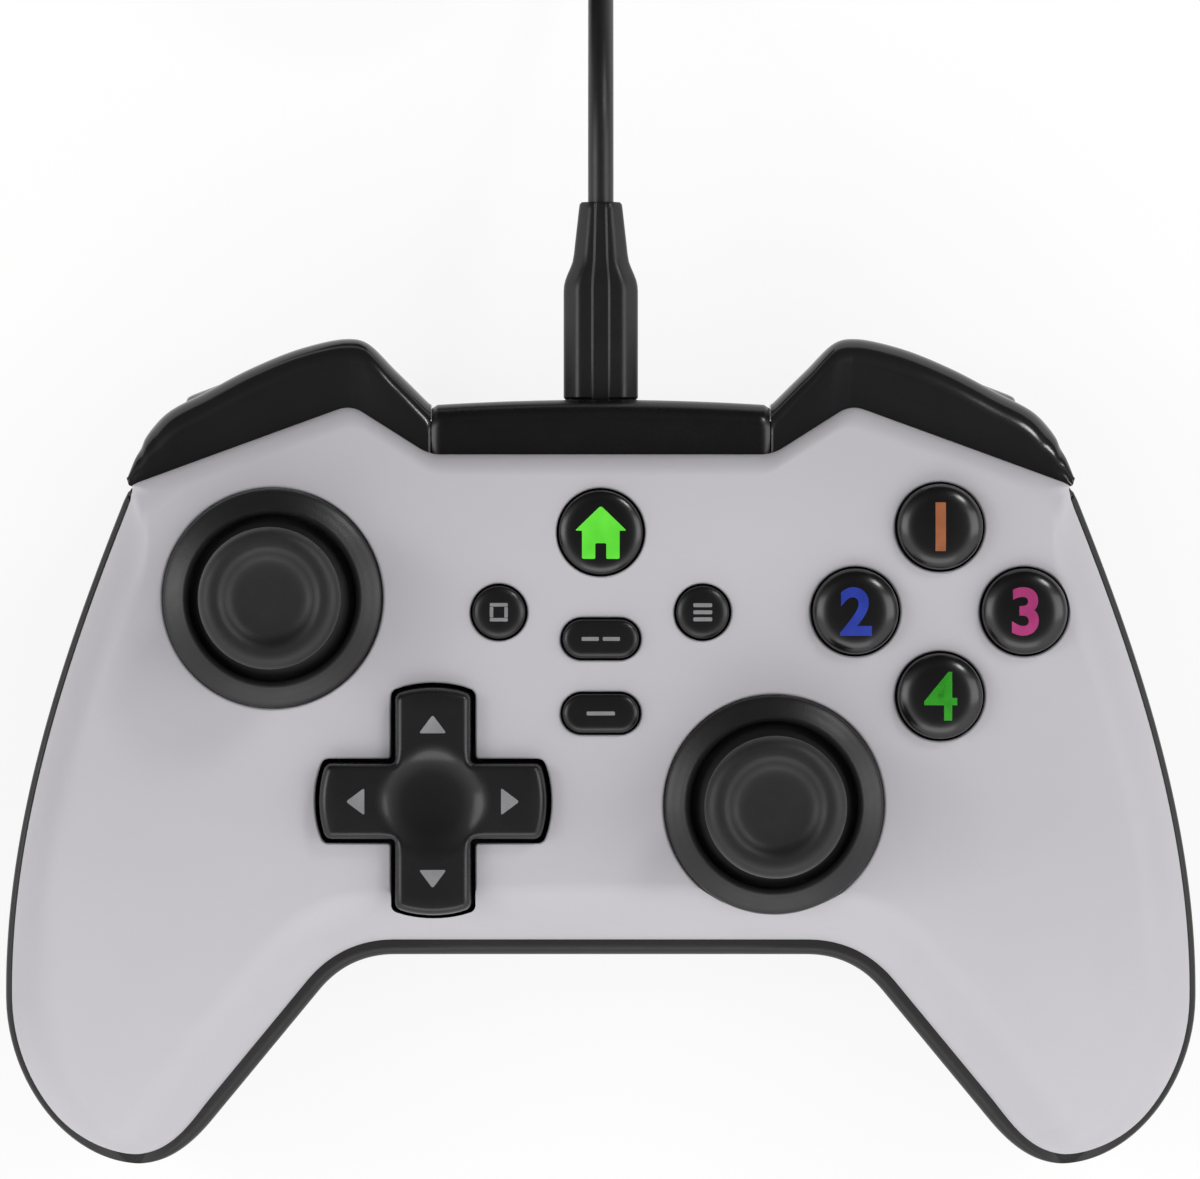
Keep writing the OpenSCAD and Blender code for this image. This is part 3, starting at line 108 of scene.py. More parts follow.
def loft(rows):
    """Points and faces of closed loops joined in order, with both ends capped."""
    m = len(rows[0])
    faces = grid_faces(len(rows), m, True)
    faces.append(tuple(range(m - 1, -1, -1)))
    faces.append(tuple((len(rows) - 1) * m + k for k in range(m)))
    return np.concatenate([np.asarray(r, float) for r in rows]), faces


def lathe(profile, centre, sides=96):
    """A profile of (radius, height) turned about a vertical axis; radius 0 at an end closes it."""
    rows, faces, points = [], [], []
    angles = np.linspace(0, 2 * math.pi, sides, endpoint=False)
    for r, z in profile:
        if r < 1e-6:
            rows.append([len(points)])
            points.append((centre[0], centre[1], z))
        else:
            rows.append(list(range(len(points), len(points) + sides)))
            points += [(centre[0] + r * math.cos(a), centre[1] + r * math.sin(a), z) for a in angles]
    for a, b in zip(rows, rows[1:]):
        for k in range(sides):
            q = (k + 1) % sides
            if len(a) == 1 and len(b) == 1:
                continue
            if len(a) == 1:
                faces.append((a[0], b[q], b[k]))
            elif len(b) == 1:
                faces.append((a[k], a[q], b[0]))
            else:
                faces.append((a[k], a[q], b[q], b[k]))
    return np.array(points), faces


def applied(obj):
    """Gives the object the mesh that its modifiers make."""
    bpy.context.view_layer.update()
    mesh = bpy.data.meshes.new_from_object(obj.evaluated_get(bpy.context.evaluated_depsgraph_get()))
    obj.modifiers.clear()
    old = obj.data
    obj.data = mesh
    bpy.data.meshes.remove(old)


def combine(obj, solids, operation="DIFFERENCE"):
    """Subtracts, or joins, a list of (points, faces) solids in millimetres."""
    pts, faces, base = [], [], 0
    for p, f in solids:
        pts.append(np.asarray(p, float) * MM)
        faces += [tuple(int(i) + base for i in q) for q in f]
        base += len(p)
    mesh = bpy.data.meshes.new("tool")
    mesh.from_pydata([tuple(p) for p in np.concatenate(pts)], [], faces)
    shade(mesh, 180)
    tool = bpy.data.objects.new("tool", mesh)
    bpy.context.scene.collection.objects.link(tool)
    mod = obj.modifiers.new("combine", "BOOLEAN")
    mod.operation, mod.solver, mod.object, mod.use_self = operation, "EXACT", tool, operation == "UNION"
    applied(obj)
    bpy.data.objects.remove(tool)
    bpy.data.meshes.remove(mesh)


def flat(plan, z):
    """A plan of (x, y) points at one height, or at a height for each point."""
    return np.column_stack([plan, np.broadcast_to(z, len(plan))])


def upright(plan, y):
    """A plan of (x, z) points that stands at y."""
    plan = np.asarray(plan, float)
    return np.column_stack([plan[:, 0], np.full(len(plan), y), plan[:, 1]])


def prism(plan, low, high):
    """A plan of (x, y) points between two heights."""
    return loft([flat(plan, z) for z in (low, high)])


def box(low, high):
    (x0, y0, z0), (x1, y1, z1) = low, high
    return prism([(x0, y0), (x1, y0), (x1, y1), (x0, y1)], z0, z1)


def circle_plan(r, steps=96, centre=(0.0, 0.0)):
    a = np.linspace(0, 2 * math.pi, steps, endpoint=False)
    return np.stack([centre[0] + r * np.cos(a), centre[1] + r * np.sin(a)], 1)


def outline_normals(plan):
    """Outward normals of a closed outline that runs anticlockwise."""
    d = np.roll(plan, -1, 0) - np.roll(plan, 1, 0)
    d /= np.linalg.norm(d, axis=1)[:, None]
    return np.stack([d[:, 1], -d[:, 0]], 1)


def spline(points, closed=False, steps=6):
    """A smooth curve through points, with chord-length knots."""
    p = np.asarray(points, float)
    n = len(p)
    out = []
    for k in range(n if closed else n - 1):
        p0 = p[(k - 1) % n] if closed or k > 0 else 2 * p[0] - p[1]
        p1, p2 = p[k], p[(k + 1) % n]
        p3 = p[(k + 2) % n] if closed or k + 2 < n else 2 * p[-1] - p[-2]
        t0 = 0.0
        t1 = t0 + max(1e-6, np.linalg.norm(p1 - p0) ** 0.5)
        t2 = t1 + max(1e-6, np.linalg.norm(p2 - p1) ** 0.5)
        t3 = t2 + max(1e-6, np.linalg.norm(p3 - p2) ** 0.5)
        for t in np.linspace(t1, t2, steps, endpoint=False):
            a1 = (t1 - t) / (t1 - t0) * p0 + (t - t0) / (t1 - t0) * p1
            a2 = (t2 - t) / (t2 - t1) * p1 + (t - t1) / (t2 - t1) * p2
            a3 = (t3 - t) / (t3 - t2) * p2 + (t - t2) / (t3 - t2) * p3
            b1 = (t2 - t) / (t2 - t0) * a1 + (t - t0) / (t2 - t0) * a2
            b2 = (t3 - t) / (t3 - t1) * a2 + (t - t1) / (t3 - t1) * a3
            out.append((t2 - t) / (t2 - t1) * b1 + (t - t1) / (t2 - t1) * b2)
    if not closed:
        out.append(p[-1])
    return np.array(out)


def pillow(plan, half, edge, steps=6):
    """Rows (offset plan, station) of an extrusion from -half to half whose end edges are rounded."""
    plan = np.asarray(plan, float)
    normal = outline_normals(plan)
    q = np.linspace(0, math.pi / 2, steps + 1)
    ends = [(-edge * (1 - math.sin(a)), half - edge * (1 - math.cos(a))) for a in q]
    ends = [(off, -station) for off, station in ends] + ends[::-1]
    return [(plan + normal * off, station) for off, station in ends]


def mirrored(solid):
    """A (points, faces) solid on the other side of the middle plane."""
    p, f = solid
    return np.asarray(p) * [-1, 1, 1], [q[::-1] for q in f]


# Materials

def srgb(r, g, b):
    return tuple((c / 12.92 if c <= 0.04045 else ((c + 0.055) / 1.055) ** 2.4) for c in (r, g, b)) + (1.0,)


def add_node(tree, kind, inputs=None, **settings):
    """A shader node with its settings made, and its inputs set to values or linked from sockets."""
    n = tree.nodes.new(kind)
    for key, value in settings.items():
        setattr(n, key, value)
    for key, value in (inputs or {}).items():
        if isinstance(value, bpy.types.NodeSocket):
            tree.links.new(value, n.inputs[key])
        else:
            n.inputs[key].default_value = value
    return n


class Surface:
    """A Principled material whose colour, roughness and relief come from noise in object space, in metres."""

    def __init__(self, name, metallic=0.0, specular=0.5, coat=0.0, coat_rough=0.1, sheen=0.0):
        self.mat = bpy.data.materials.new(name)
        self.mat.use_nodes = True
        self.tree = self.mat.node_tree
        self.bsdf = self.tree.nodes["Principled BSDF"]
        for key, value in (("Metallic", metallic), ("Specular IOR Level", specular), ("IOR", 1.5),
                           ("Coat Weight", coat), ("Coat Roughness", coat_rough), ("Sheen Weight", sheen)):
            self.bsdf.inputs[key].default_value = value
        self.place = self.node("ShaderNodeTexCoord").outputs["Object"]

    def node(self, kind, inputs=None, **settings):
        return add_node(self.tree, kind, inputs, **settings)

    def drive(self, key, socket):
        """Links a socket to one of the shader's inputs."""
        self.tree.links.new(socket, self.bsdf.inputs[key])

    def stretched(self, scale):
        """Object coordinates scaled along each axis."""
        return self.node("ShaderNodeMapping", {"Scale": scale, "Vector": self.place}).outputs["Vector"]

    def noise(self, scale, detail=2.0, rough=0.5, where=None):
        inputs = {"Scale": scale, "Detail": detail, "Roughness": rough, "Vector": where or self.place}
        return self.node("ShaderNodeTexNoise", inputs).outputs["Fac"]

    def cells(self, scale, feature="F1"):
        inputs = {"Scale": scale, "Vector": self.place}
        return self.node("ShaderNodeTexVoronoi", inputs, feature=feature).outputs["Distance"]

    def tones(self, fac, dark, light, low=0.3, high=0.7):
        """Base colour from dark to light over a noise value."""
        ramp = self.node("ShaderNodeValToRGB", {"Fac": fac})
        for stop, at, colour in zip(ramp.color_ramp.elements, (low, high), (dark, light)):
            stop.position, stop.color = at, srgb(*colour)
        self.drive("Base Color", ramp.outputs["Color"])

    def roughness(self, fac, low, high):
        span = self.node("ShaderNodeMapRange", {"To Min": low, "To Max": high, "Value": fac})
        self.drive("Roughness", span.outputs["Result"])

    def bump(self, fac, depth_mm):
        relief = self.node("ShaderNodeBump", {"Strength": 1.0, "Distance": depth_mm * MM, "Height": fac})
        self.drive("Normal", relief.outputs["Normal"])


def moulded(name, dark, light, rough, grain, depth, mottle, **shader):
    """Injection-moulded plastic: faint mottling in colour and gloss, and spark-eroded grain."""
    s = Surface(name, **shader)
    s.tones(s.noise(mottle, 4.0, 0.6), dark, light)
    s.roughness(s.noise(mottle * 7, 3.0), *rough)
    s.bump(s.noise(grain, 2.0, 0.6), depth)
    return s


def brushed(name, dark, light, rough, stretch):
    """Metal with fine lines along one axis."""
    s = Surface(name, metallic=1.0)
    fac = s.noise(90.0, 4.0, 0.7, s.stretched(stretch))
    s.tones(fac, dark, light)
    s.roughness(fac, *rough)
    s.bump(fac, 0.01)
    return s


pale = moulded("pale_shell", (0.775, 0.765, 0.785), (0.795, 0.785, 0.805), (0.46, 0.58), 2400, 0.016, 22.0)
black = moulded("black_shell", (0.075, 0.075, 0.08), (0.095, 0.095, 0.1), (0.36, 0.5), 2200, 0.02, 45.0)
bumper_black = moulded("bumper_black", (0.105, 0.105, 0.109), (0.13, 0.13, 0.135), (0.13, 0.19),
                       3000, 0.003, 50.0)
bridge_black = moulded("bridge_black", (0.05, 0.05, 0.053), (0.066, 0.066, 0.07), (0.22, 0.32),
                       3000, 0.005, 50.0)
dark_plastic = moulded("dark_plastic", (0.085, 0.085, 0.09), (0.105, 0.105, 0.11), (0.25, 0.34),
                       2600, 0.008, 50.0)
gloss = moulded("gloss_black", (0.045, 0.045, 0.05), (0.06, 0.06, 0.065), (0.2, 0.27), 900, 0.002, 80.0,
                coat=0.25, coat_rough=0.14)
gloss_soft = moulded("trigger_black", (0.05, 0.05, 0.053), (0.068, 0.068, 0.072), (0.2, 0.28),
                     2200, 0.004, 60.0)
small_black = moulded("small_button_black", (0.06, 0.06, 0.065), (0.08, 0.08, 0.085), (0.25, 0.35),
                      2600, 0.006, 80.0)
rubber = moulded("stick_rubber", (0.085, 0.085, 0.088), (0.11, 0.11, 0.113), (0.44, 0.54), 3200, 0.016, 120.0,
                 sheen=0.04)
ring_plastic = moulded("ring_plastic", (0.08, 0.08, 0.083), (0.1, 0.1, 0.104), (0.32, 0.42),
                       2600, 0.014, 80.0)
cable_pvc = moulded("cable_pvc", (0.075, 0.075, 0.078), (0.1, 0.1, 0.104), (0.34, 0.44), 1500, 0.01, 140.0)
plug_pvc = moulded("plug_pvc", (0.06, 0.06, 0.063), (0.085, 0.085, 0.088), (0.32, 0.42), 2200, 0.012, 90.0)
steel = brushed("steel", (0.62, 0.63, 0.65), (0.78, 0.79, 0.81), (0.22, 0.38), (1, 14, 14))
silicone = moulded("silicone", (0.46, 0.48, 0.5), (0.54, 0.56, 0.58), (0.5, 0.6), 1800, 0.01, 90.0)
mark_grey = moulded("mark_grey", (0.5, 0.5, 0.51), (0.58, 0.58, 0.59), (0.4, 0.5), 3000, 0.004, 200.0)

board = Surface("board")
board.tones(board.cells(420.0, "DISTANCE_TO_EDGE"), (0.16, 0.42, 0.24), (0.07, 0.26, 0.14), 0.02, 0.1)
board.roughness(board.noise(300.0), 0.3, 0.45)
board.bump(board.cells(420.0, "DISTANCE_TO_EDGE"), 0.02)

webbing = Surface("tie_webbing", specular=0.3, sheen=0.3)
webbing.tones(webbing.cells(1500.0), (0.16, 0.16, 0.165), (0.09, 0.09, 0.095), 0.1, 0.8)
webbing.roughness(webbing.noise(900.0), 0.75, 0.9)
webbing.bump(webbing.cells(1500.0), 0.12)

glow = Surface("icon_glow", coat=0.3, coat_rough=0.1)
glow.tones(glow.noise(240.0, 2.0), (0.28, 0.72, 0.16), (0.38, 0.82, 0.22))
glow.roughness(glow.noise(900.0), 0.3, 0.4)
glow.bump(glow.noise(2600.0), 0.004)
glow.bsdf.inputs["Emission Color"].default_value = srgb(0.36, 0.84, 0.2)
glow.bsdf.inputs["Emission Strength"].default_value = 0.35


def ink(name, dark, light):
    return moulded(name, dark, light, (0.2, 0.27), 1200, 0.002, 260.0, coat=0.25, coat_rough=0.14)


inks = [ink("ink_orange", (0.6, 0.36, 0.24), (0.7, 0.43, 0.29)),
        ink("ink_blue", (0.14, 0.2, 0.56), (0.19, 0.27, 0.68)),
        ink("ink_pink", (0.62, 0.2, 0.42), (0.72, 0.26, 0.5)),
        ink("ink_green", (0.16, 0.54, 0.12), (0.23, 0.66, 0.17))]


# Camera, light and floor

VIEW_W, VIEW_MID, VIEW_PLANE = 154.08, (-0.1, 21.1), 30.0
SENSOR, LENS = 36.0, 240.0
LIGHT_AIM = Vector((0.0, 0.01, 0.03))
SKY_BY_HEIGHT = ((0.0, 0.5), (0.2, 0.8), (0.72, 0.95), (0.9, 0.16), (0.99, 0.1))
SKY_BY_DEPTH = ((0.0, 1.15), (0.5, 1.1), (0.6, 0.85), (0.7, 0.45), (0.82, 0.12), (0.99, 0.05))
SKY_STRENGTH = 1.13
FLOOR_GREYS, FLOOR_WHITE, FLOOR_WHITE_SHARE = (0.7, 0.74), 1.1, 0.78
FLOOR_HALF, FLOOR_Z = 4.0, -0.0004


def camera():
    """Looks straight down; the picture is VIEW_W wide at the height VIEW_PLANE."""
    cam = bpy.data.cameras.new("camera")
    cam.type, cam.sensor_fit = "PERSP", "HORIZONTAL"
    cam.sensor_width, cam.lens = SENSOR, LENS
    cam.clip_start, cam.clip_end = 0.05, 10.0
    obj = bpy.data.objects.new("camera", cam)
    obj.location = Vector((*VIEW_MID, VIEW_PLANE + VIEW_W * LENS / SENSOR)) * MM
    bpy.context.scene.collection.objects.link(obj)
    bpy.context.scene.camera = obj


def area_light(name, at, size, power):
    light = bpy.data.lights.new(name, "AREA")
    light.shape, light.size, light.size_y = "RECTANGLE", *size
    light.energy = power
    obj = bpy.data.objects.new(name, light)
    obj.location = at
    obj.rotation_euler = (LIGHT_AIM - Vector(at)).to_track_quat("-Z", "Y").to_euler()
    bpy.context.scene.collection.objects.link(obj)


def world():
    """Soft light from all round, dimmer straight above and behind."""
    sky = bpy.data.worlds.new("studio")
    bpy.context.scene.world = sky
    sky.use_nodes = True
    tree = sky.node_tree

    def ramp(value, stops):
        r = add_node(tree, "ShaderNodeValToRGB", {"Fac": value})
        for k, (stop, grey) in enumerate(stops):
            e = r.color_ramp.elements[0] if k == 0 else r.color_ramp.elements.new(stop)
            e.position, e.color = stop, (grey, grey, grey, 1)
        r.color_ramp.elements.remove(r.color_ramp.elements[-1])
        return r.outputs["Color"]

    direction = add_node(tree, "ShaderNodeTexCoord").outputs["Generated"]
    split = add_node(tree, "ShaderNodeSeparateXYZ", {"Vector": direction})
    depth = add_node(tree, "ShaderNodeMapRange", {"From Min": -1.0, "Value": split.outputs["Y"]})
    shades = {0: ramp(split.outputs["Z"], SKY_BY_HEIGHT), 1: ramp(depth.outputs["Result"], SKY_BY_DEPTH)}
    both = add_node(tree, "ShaderNodeVectorMath", shades, operation="MULTIPLY")
    back = tree.nodes["Background"]
    tree.links.new(both.outputs["Vector"], back.inputs["Color"])
    back.inputs["Strength"].default_value = SKY_STRENGTH


def floor():
    """A pale floor, near white to the eye with a faint shadow, that lets a view from below through."""
    mat = bpy.data.materials.new("floor_white")
    mat.use_nodes = True
    tree = mat.node_tree
    noise = add_node(tree, "ShaderNodeTexNoise", {"Scale": 30.0})
    tint = add_node(tree, "ShaderNodeValToRGB", {"Fac": noise.outputs["Fac"]})
    for stop, grey in zip(tint.color_ramp.elements, FLOOR_GREYS):
        stop.color = (grey, grey, grey, 1)
    bsdf = tree.nodes["Principled BSDF"]
    bsdf.inputs["Roughness"].default_value = 0.8
    tree.links.new(tint.outputs["Color"], bsdf.inputs["Base Color"])
    path = add_node(tree, "ShaderNodeLightPath")
    seen = path.outputs["Is Camera Ray"]
    for kind in ("Is Glossy Ray", "Is Transmission Ray"):
        either = add_node(tree, "ShaderNodeMath", {0: seen, 1: path.outputs[kind]}, use_clamp=True)
        seen = either.outputs["Value"]
    share = add_node(tree, "ShaderNodeMath", {0: seen, 1: FLOOR_WHITE_SHARE}, operation="MULTIPLY")
    white = add_node(tree, "ShaderNodeEmission", {"Color": (1, 1, 1, 1), "Strength": FLOOR_WHITE})
    mix = add_node(tree, "ShaderNodeMixShader", {"Fac": share.outputs["Value"], 1: bsdf.outputs["BSDF"],
                                                 2: white.outputs["Emission"]})
    side = add_node(tree, "ShaderNodeNewGeometry")
    clear = add_node(tree, "ShaderNodeBsdfTransparent")
    sides = {"Fac": side.outputs["Backfacing"], 1: mix.outputs["Shader"], 2: clear.outputs["BSDF"]}
    one_way = add_node(tree, "ShaderNodeMixShader", sides)
    tree.links.new(one_way.outputs["Shader"], tree.nodes["Material Output"].inputs["Surface"])
    mesh = bpy.data.meshes.new("floor")
    r, z = FLOOR_HALF, FLOOR_Z
    mesh.from_pydata([(-r, -r, z), (r, -r, z), (r, r, z), (-r, r, z)], [], [(0, 1, 2, 3)])
    mesh.materials.append(mat)
    obj = bpy.data.objects.new("floor", mesh)
    bpy.context.scene.collection.objects.link(obj)


bpy.context.scene.view_settings.view_transform = "Standard"
camera()
world()
floor()
area_light("right", (0.78, 0.12, 0.6), (0.5, 0.6), 1.8)
area_light("left", (-0.78, 0.12, 0.6), (0.5, 0.6), 1.4)
area_light("front", (0.0, -0.8, 0.75), (0.9, 0.4), 1.5)
area_light("right_glint", (0.5, 0.62, 0.6), (0.18, 0.18), 1.6)
area_light("left_glint", (-0.78, 0.12, 0.6), (0.12, 0.12), 0.5)


# Cable

PLUG_Z, CORD_D, CORD_LOW, EXIT_Y = 23.5, 3.3, 2.7, 71.1
COIL_MID, COIL_R, COIL_STEP = (-26.1, 130.4), 26.1, 3.8
COIL_TURNS, LAYER_TURNS, TURN_STEPS = 16.25, 4, 80
TAIL_TOP, TAIL_LOW, TAIL_RUN = 14.1, 4.2, 30.0
# Distance along a drop and the share of the drop that is behind there
PLUG_DROP = [[0, 0], [4, 0], [8, .01], [12, .043], [16, .11], [20, .207], [24, .327], [28, .462], [32, .601],
             [36, .731], [40, .841], [44, .923], [48, .976], [52, 1], [56, 1]]
TAIL_DROP = [[0, 0], [4, 0], [7, .06], [10, .2], [13, .4], [16, .6], [19, .8], [22, .94], [25, 1], [29, 1]]


def eased(points, upto, step=0.8):
    """Distances in even steps and the shares of a drop there, without corners."""
    d, s = np.array(points, float).T
    slope = np.gradient(s, d)
    at = np.arange(0, upto + 1e-9, step)
    k = np.clip(np.searchsorted(d, at, "right") - 1, 0, len(d) - 2)
    w = d[k + 1] - d[k]
    t = (at - d[k]) / w
    h = (2 * t ** 3 - 3 * t ** 2 + 1) * s[k] + (t ** 3 - 2 * t ** 2 + t) * w * slope[k] \
        + (3 * t ** 2 - 2 * t ** 3) * s[k + 1] + (t ** 3 - t ** 2) * w * slope[k + 1]
    return at, h


def cord_line():
    """The cord's middle line: down from the plug, round the coil by layers, and along to the far plug."""
    d, s = eased(PLUG_DROP, 55.2)
    out = [(0.0, EXIT_Y + a, lerp(PLUG_Z, CORD_LOW, b)) for a, b in zip(d, s)]
    for t in np.linspace(0, COIL_TURNS, round(COIL_TURNS * TURN_STEPS) + 1):
        n = min(3, math.floor(t / LAYER_TURNS))
        turn = t - LAYER_TURNS * n
        inset = turn if n % 2 == 0 else LAYER_TURNS - turn
        r = COIL_R - COIL_STEP * inset
        z = CORD_LOW + COIL_STEP * sum(float(smooth((t - LAYER_TURNS * m) / 0.5 + 0.5)) for m in (1, 2, 3))
        a = 2 * math.pi * t
        out.append((COIL_MID[0] + r * math.cos(a), COIL_MID[1] + r * math.sin(a), z))
    x, y = out[-1][0] - CORD_D, out[-1][1]
    d, s = eased(TAIL_DROP, 28.9)
    out += [(x - a, y, lerp(TAIL_TOP, TAIL_LOW, b)) for a, b in zip(d, s)]
    out.append((x - TAIL_RUN, y, TAIL_LOW))
    return np.array(out)


def cord(*pieces):
    line = cord_line()
    curve = bpy.data.curves.new("cable_cord", "CURVE")
    curve.dimensions = "3D"
    curve.bevel_depth = CORD_D / 2 * MM
    curve.bevel_resolution = 5
    curve.use_fill_caps = True
    spline = curve.splines.new("POLY")
    spline.points.add(len(line) - 1)
    for p, q in zip(spline.points, line):
        p.co = (q[0] * MM, q[1] * MM, q[2] * MM, 1.0)
    spline.use_smooth = True
    curve.materials.append(cable_pvc.mat)
    obj = bpy.data.objects.new("cable_cord", curve)
    bpy.context.scene.collection.objects.link(obj)
    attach(obj, "casing")
    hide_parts("cord", "cord_coil", "cord_tail")


# Casing outline and heights, as in the CAD solids

BODY_W = 154.0
TIP, WIDEST, SHOULDER = np.array([59.8, -53.4]), np.array([77.0, -31.6]), np.array([61.0, 34.2])
NOTCH, PEAK, CROTCH = np.array([22.0, 38.4]), np.array([32.1, 44.8]), np.array([32.6, -26.1])
GRIP_IN, SIDE_PULL = np.array([50.5, -47.8]), np.array([7.9, -19.6])
FACE_Z, PART_Z, WALL, LIP_H = 36.5, 24.0, 2.4, 3.0
LIP_ROUND, EDGE_ROUND, BELLY_ROUND = 2.8, 8.0, 16.0
BAY_DEPTH, BAY_Z, PART_GAP, RIM_SIDE, RIM_IN = 4.0, 18.0, 0.15, 0.9, 2.0
NOTCH_BEND, PEAK_BEND, SHOULDER_BEND, CROTCH_BEND = 1.6, 1.8, 2.0, 6.0
DROP_Y = -8.0
TIP_SHARE = 0.997
CORNER_BLEND, TIP_BLEND = 7.0, 14.0
# x, y, height of the head's seat and height of the post
SCREWS = [(63, -44, 6.5, 13), (-63, -44, 6.5, 13), (60, 6, 7.5, 18), (-60, 6, 7.5, 18), (0, -15, 7, 17)]


def unit(v):
    return v / np.linalg.norm(v)


def bend(a, c, b, r, steps=14):
    """A corner c between a and b, rounded from a distance r on each side."""
    p, q = c + r * unit(a - c), c + r * unit(b - c)
    return [(1 - t) ** 2 * p + 2 * t * (1 - t) * c + t * t * q for t in np.linspace(0, 1, steps + 1)]


def bezier(p, ts):
    return [(1 - t) ** 3 * p[0] + 3 * t * (1 - t) ** 2 * p[1] + 3 * t * t * (1 - t) * p[2] + t ** 3 * p[3]
            for t in ts]


def between(a, b, steps):
    """Points on a straight line, without its ends."""
    return [lerp(a, b, t) for t in np.linspace(0, 1, steps + 1)[1:-1]]


def from_to(a, b, cut_a, cut_b, steps):
    """Points on a straight line whose ends are cut back, without those ends."""
    return between(a + cut_a * unit(b - a), b + cut_b * unit(a - b), steps)


def past(y, a, b):
    """How far y has gone from a to b, as a share from 0 to 1."""
    return np.clip((y - a) / (b - a), 0, 1)


def face_at(x, y):
    """Height of the faceplate, which falls to its sides, to the shoulder and down the grips."""
    crown, shoulder, grips = (2 * x / BODY_W) ** 2, past(y, 26.0, PEAK[1]) ** 2, past(y, DROP_Y, TIP[1]) ** 2
    return FACE_Z - 2.0 * crown - 2.5 * shoulder - 9.0 * grips


def part_at(y):
    """Height of the parting line."""
    return PART_Z - 5.0 * past(y, DROP_Y, TIP[1]) ** 2


middle = np.array([0.0, NOTCH[1]])
lip_edge = [middle] + between(middle, NOTCH - [NOTCH_BEND, 0], 16) + bend(middle, NOTCH, PEAK, NOTCH_BEND)
lip_edge += from_to(NOTCH, PEAK, NOTCH_BEND, PEAK_BEND, 8) + bend(NOTCH, PEAK, SHOULDER, PEAK_BEND)
lip_edge += from_to(PEAK, SHOULDER, PEAK_BEND, SHOULDER_BEND, 24)
lip_edge += bend(PEAK, SHOULDER, SHOULDER + SIDE_PULL, SHOULDER_BEND)
side = bezier([SHOULDER, SHOULDER + SIDE_PULL, WIDEST + [0, 23.6], WIDEST], np.linspace(0.05, 1, 56))
round_tip = bezier([WIDEST, WIDEST - [0, 11.4], TIP + [9.2, 0], TIP],
                   TIP_SHARE * (1 - (1 - np.linspace(0, 1, 45)[1:]) ** 2))
outer_edge = np.array(lip_edge + side + round_tip)
low_mid = np.array([0.0, CROTCH[1]])
inner_edge = np.array([low_mid] + between(low_mid, CROTCH - [CROTCH_BEND, 0], 20)
                      + bend(low_mid, CROTCH, GRIP_IN, CROTCH_BEND, 20)
                      + from_to(CROTCH, GRIP_IN, CROTCH_BEND, 0, 24)
                      + bezier([GRIP_IN, GRIP_IN + [2.5, -3], TIP - [3.8, 0], TIP],
                               TIP_SHARE * np.linspace(0, 1, 24)))


def runs(p):
    """Distance along a polyline at each of its points."""
    return np.concatenate([[0], np.cumsum(np.linalg.norm(np.diff(p, axis=0), axis=1))])


outer_len = runs(outer_edge)[-1]
stations = runs(outer_edge) / outer_len
corner_run = runs(outer_edge)[len(lip_edge) - 8]
deep_run = corner_run - 5.3


def along(p, f):
    """Points at shares f of a polyline's length."""
    r = runs(p)
    return np.stack([np.interp(np.asarray(f) * r[-1], r, p[:, k]) for k in (0, 1)], 1)


def moved_in(p, by, side):
    """A polyline moved sideways by a distance at each point; side 1 is left of its heading."""
    d = np.gradient(p, axis=0)
    d /= np.linalg.norm(d, axis=1)[:, None]
    return p + side * np.stack([-d[:, 1], d[:, 0]], 1) * np.asarray(by)[:, None]


def marks(w, ro, ri, round_steps, mid_steps):
    """Run, share of the rise and share across for each point of a section."""
    a, b = min(ro, 0.46 * w), min(ri, 0.46 * w)
    ha, hb = math.sqrt(1 - (1 - a / ro) ** 2), math.sqrt(1 - (1 - b / ri) ** 2)
    q = np.linspace(0, math.pi / 2, round_steps + 1)
    t = np.linspace(0, 1, mid_steps + 1)[1:-1]
    run = np.concatenate([a * (1 - np.cos(q)), lerp(a, w - b, t), (w - b * (1 - np.cos(q)))[::-1]])
    rise = np.concatenate([ha * np.sin(q), lerp(ha, hb, t), (hb * np.sin(q))[::-1]])
    share = np.concatenate([0 * q, t, 0 * q + 1])
    return run, rise, share


def fades(f, start, length):
    """1 along the shoulder edge, falling to 0 over a length that begins at a distance along the outline."""
    return 1 - smooth((np.asarray(f) * outer_len - start) / length)


def bay_share(f):
    return fades(f, corner_run, 0.6)


def softened(p, z, step, e_o, e_i):
    """The rear shell's section with its two rim edges rounded."""
    e_o, e_i = min(e_o, 0.7 * (z[0] - z[1])), min(e_i, 0.7 * (z[-1] - z[-2]))
    a = np.linspace(math.pi / 2, 0, 7)[:, None]
    first = p[0] + step * e_o * (1 - np.cos(a)), z[0] - e_o * (1 - np.sin(a[:, 0]))
    last = p[-1] - step * e_i * (1 - np.cos(a[::-1])), z[-1] - e_i * (1 - np.sin(a[::-1, 0]))
    return np.concatenate([first[0], p[1:-1], last[0]]), np.concatenate([first[1], z[1:-1], last[1]])


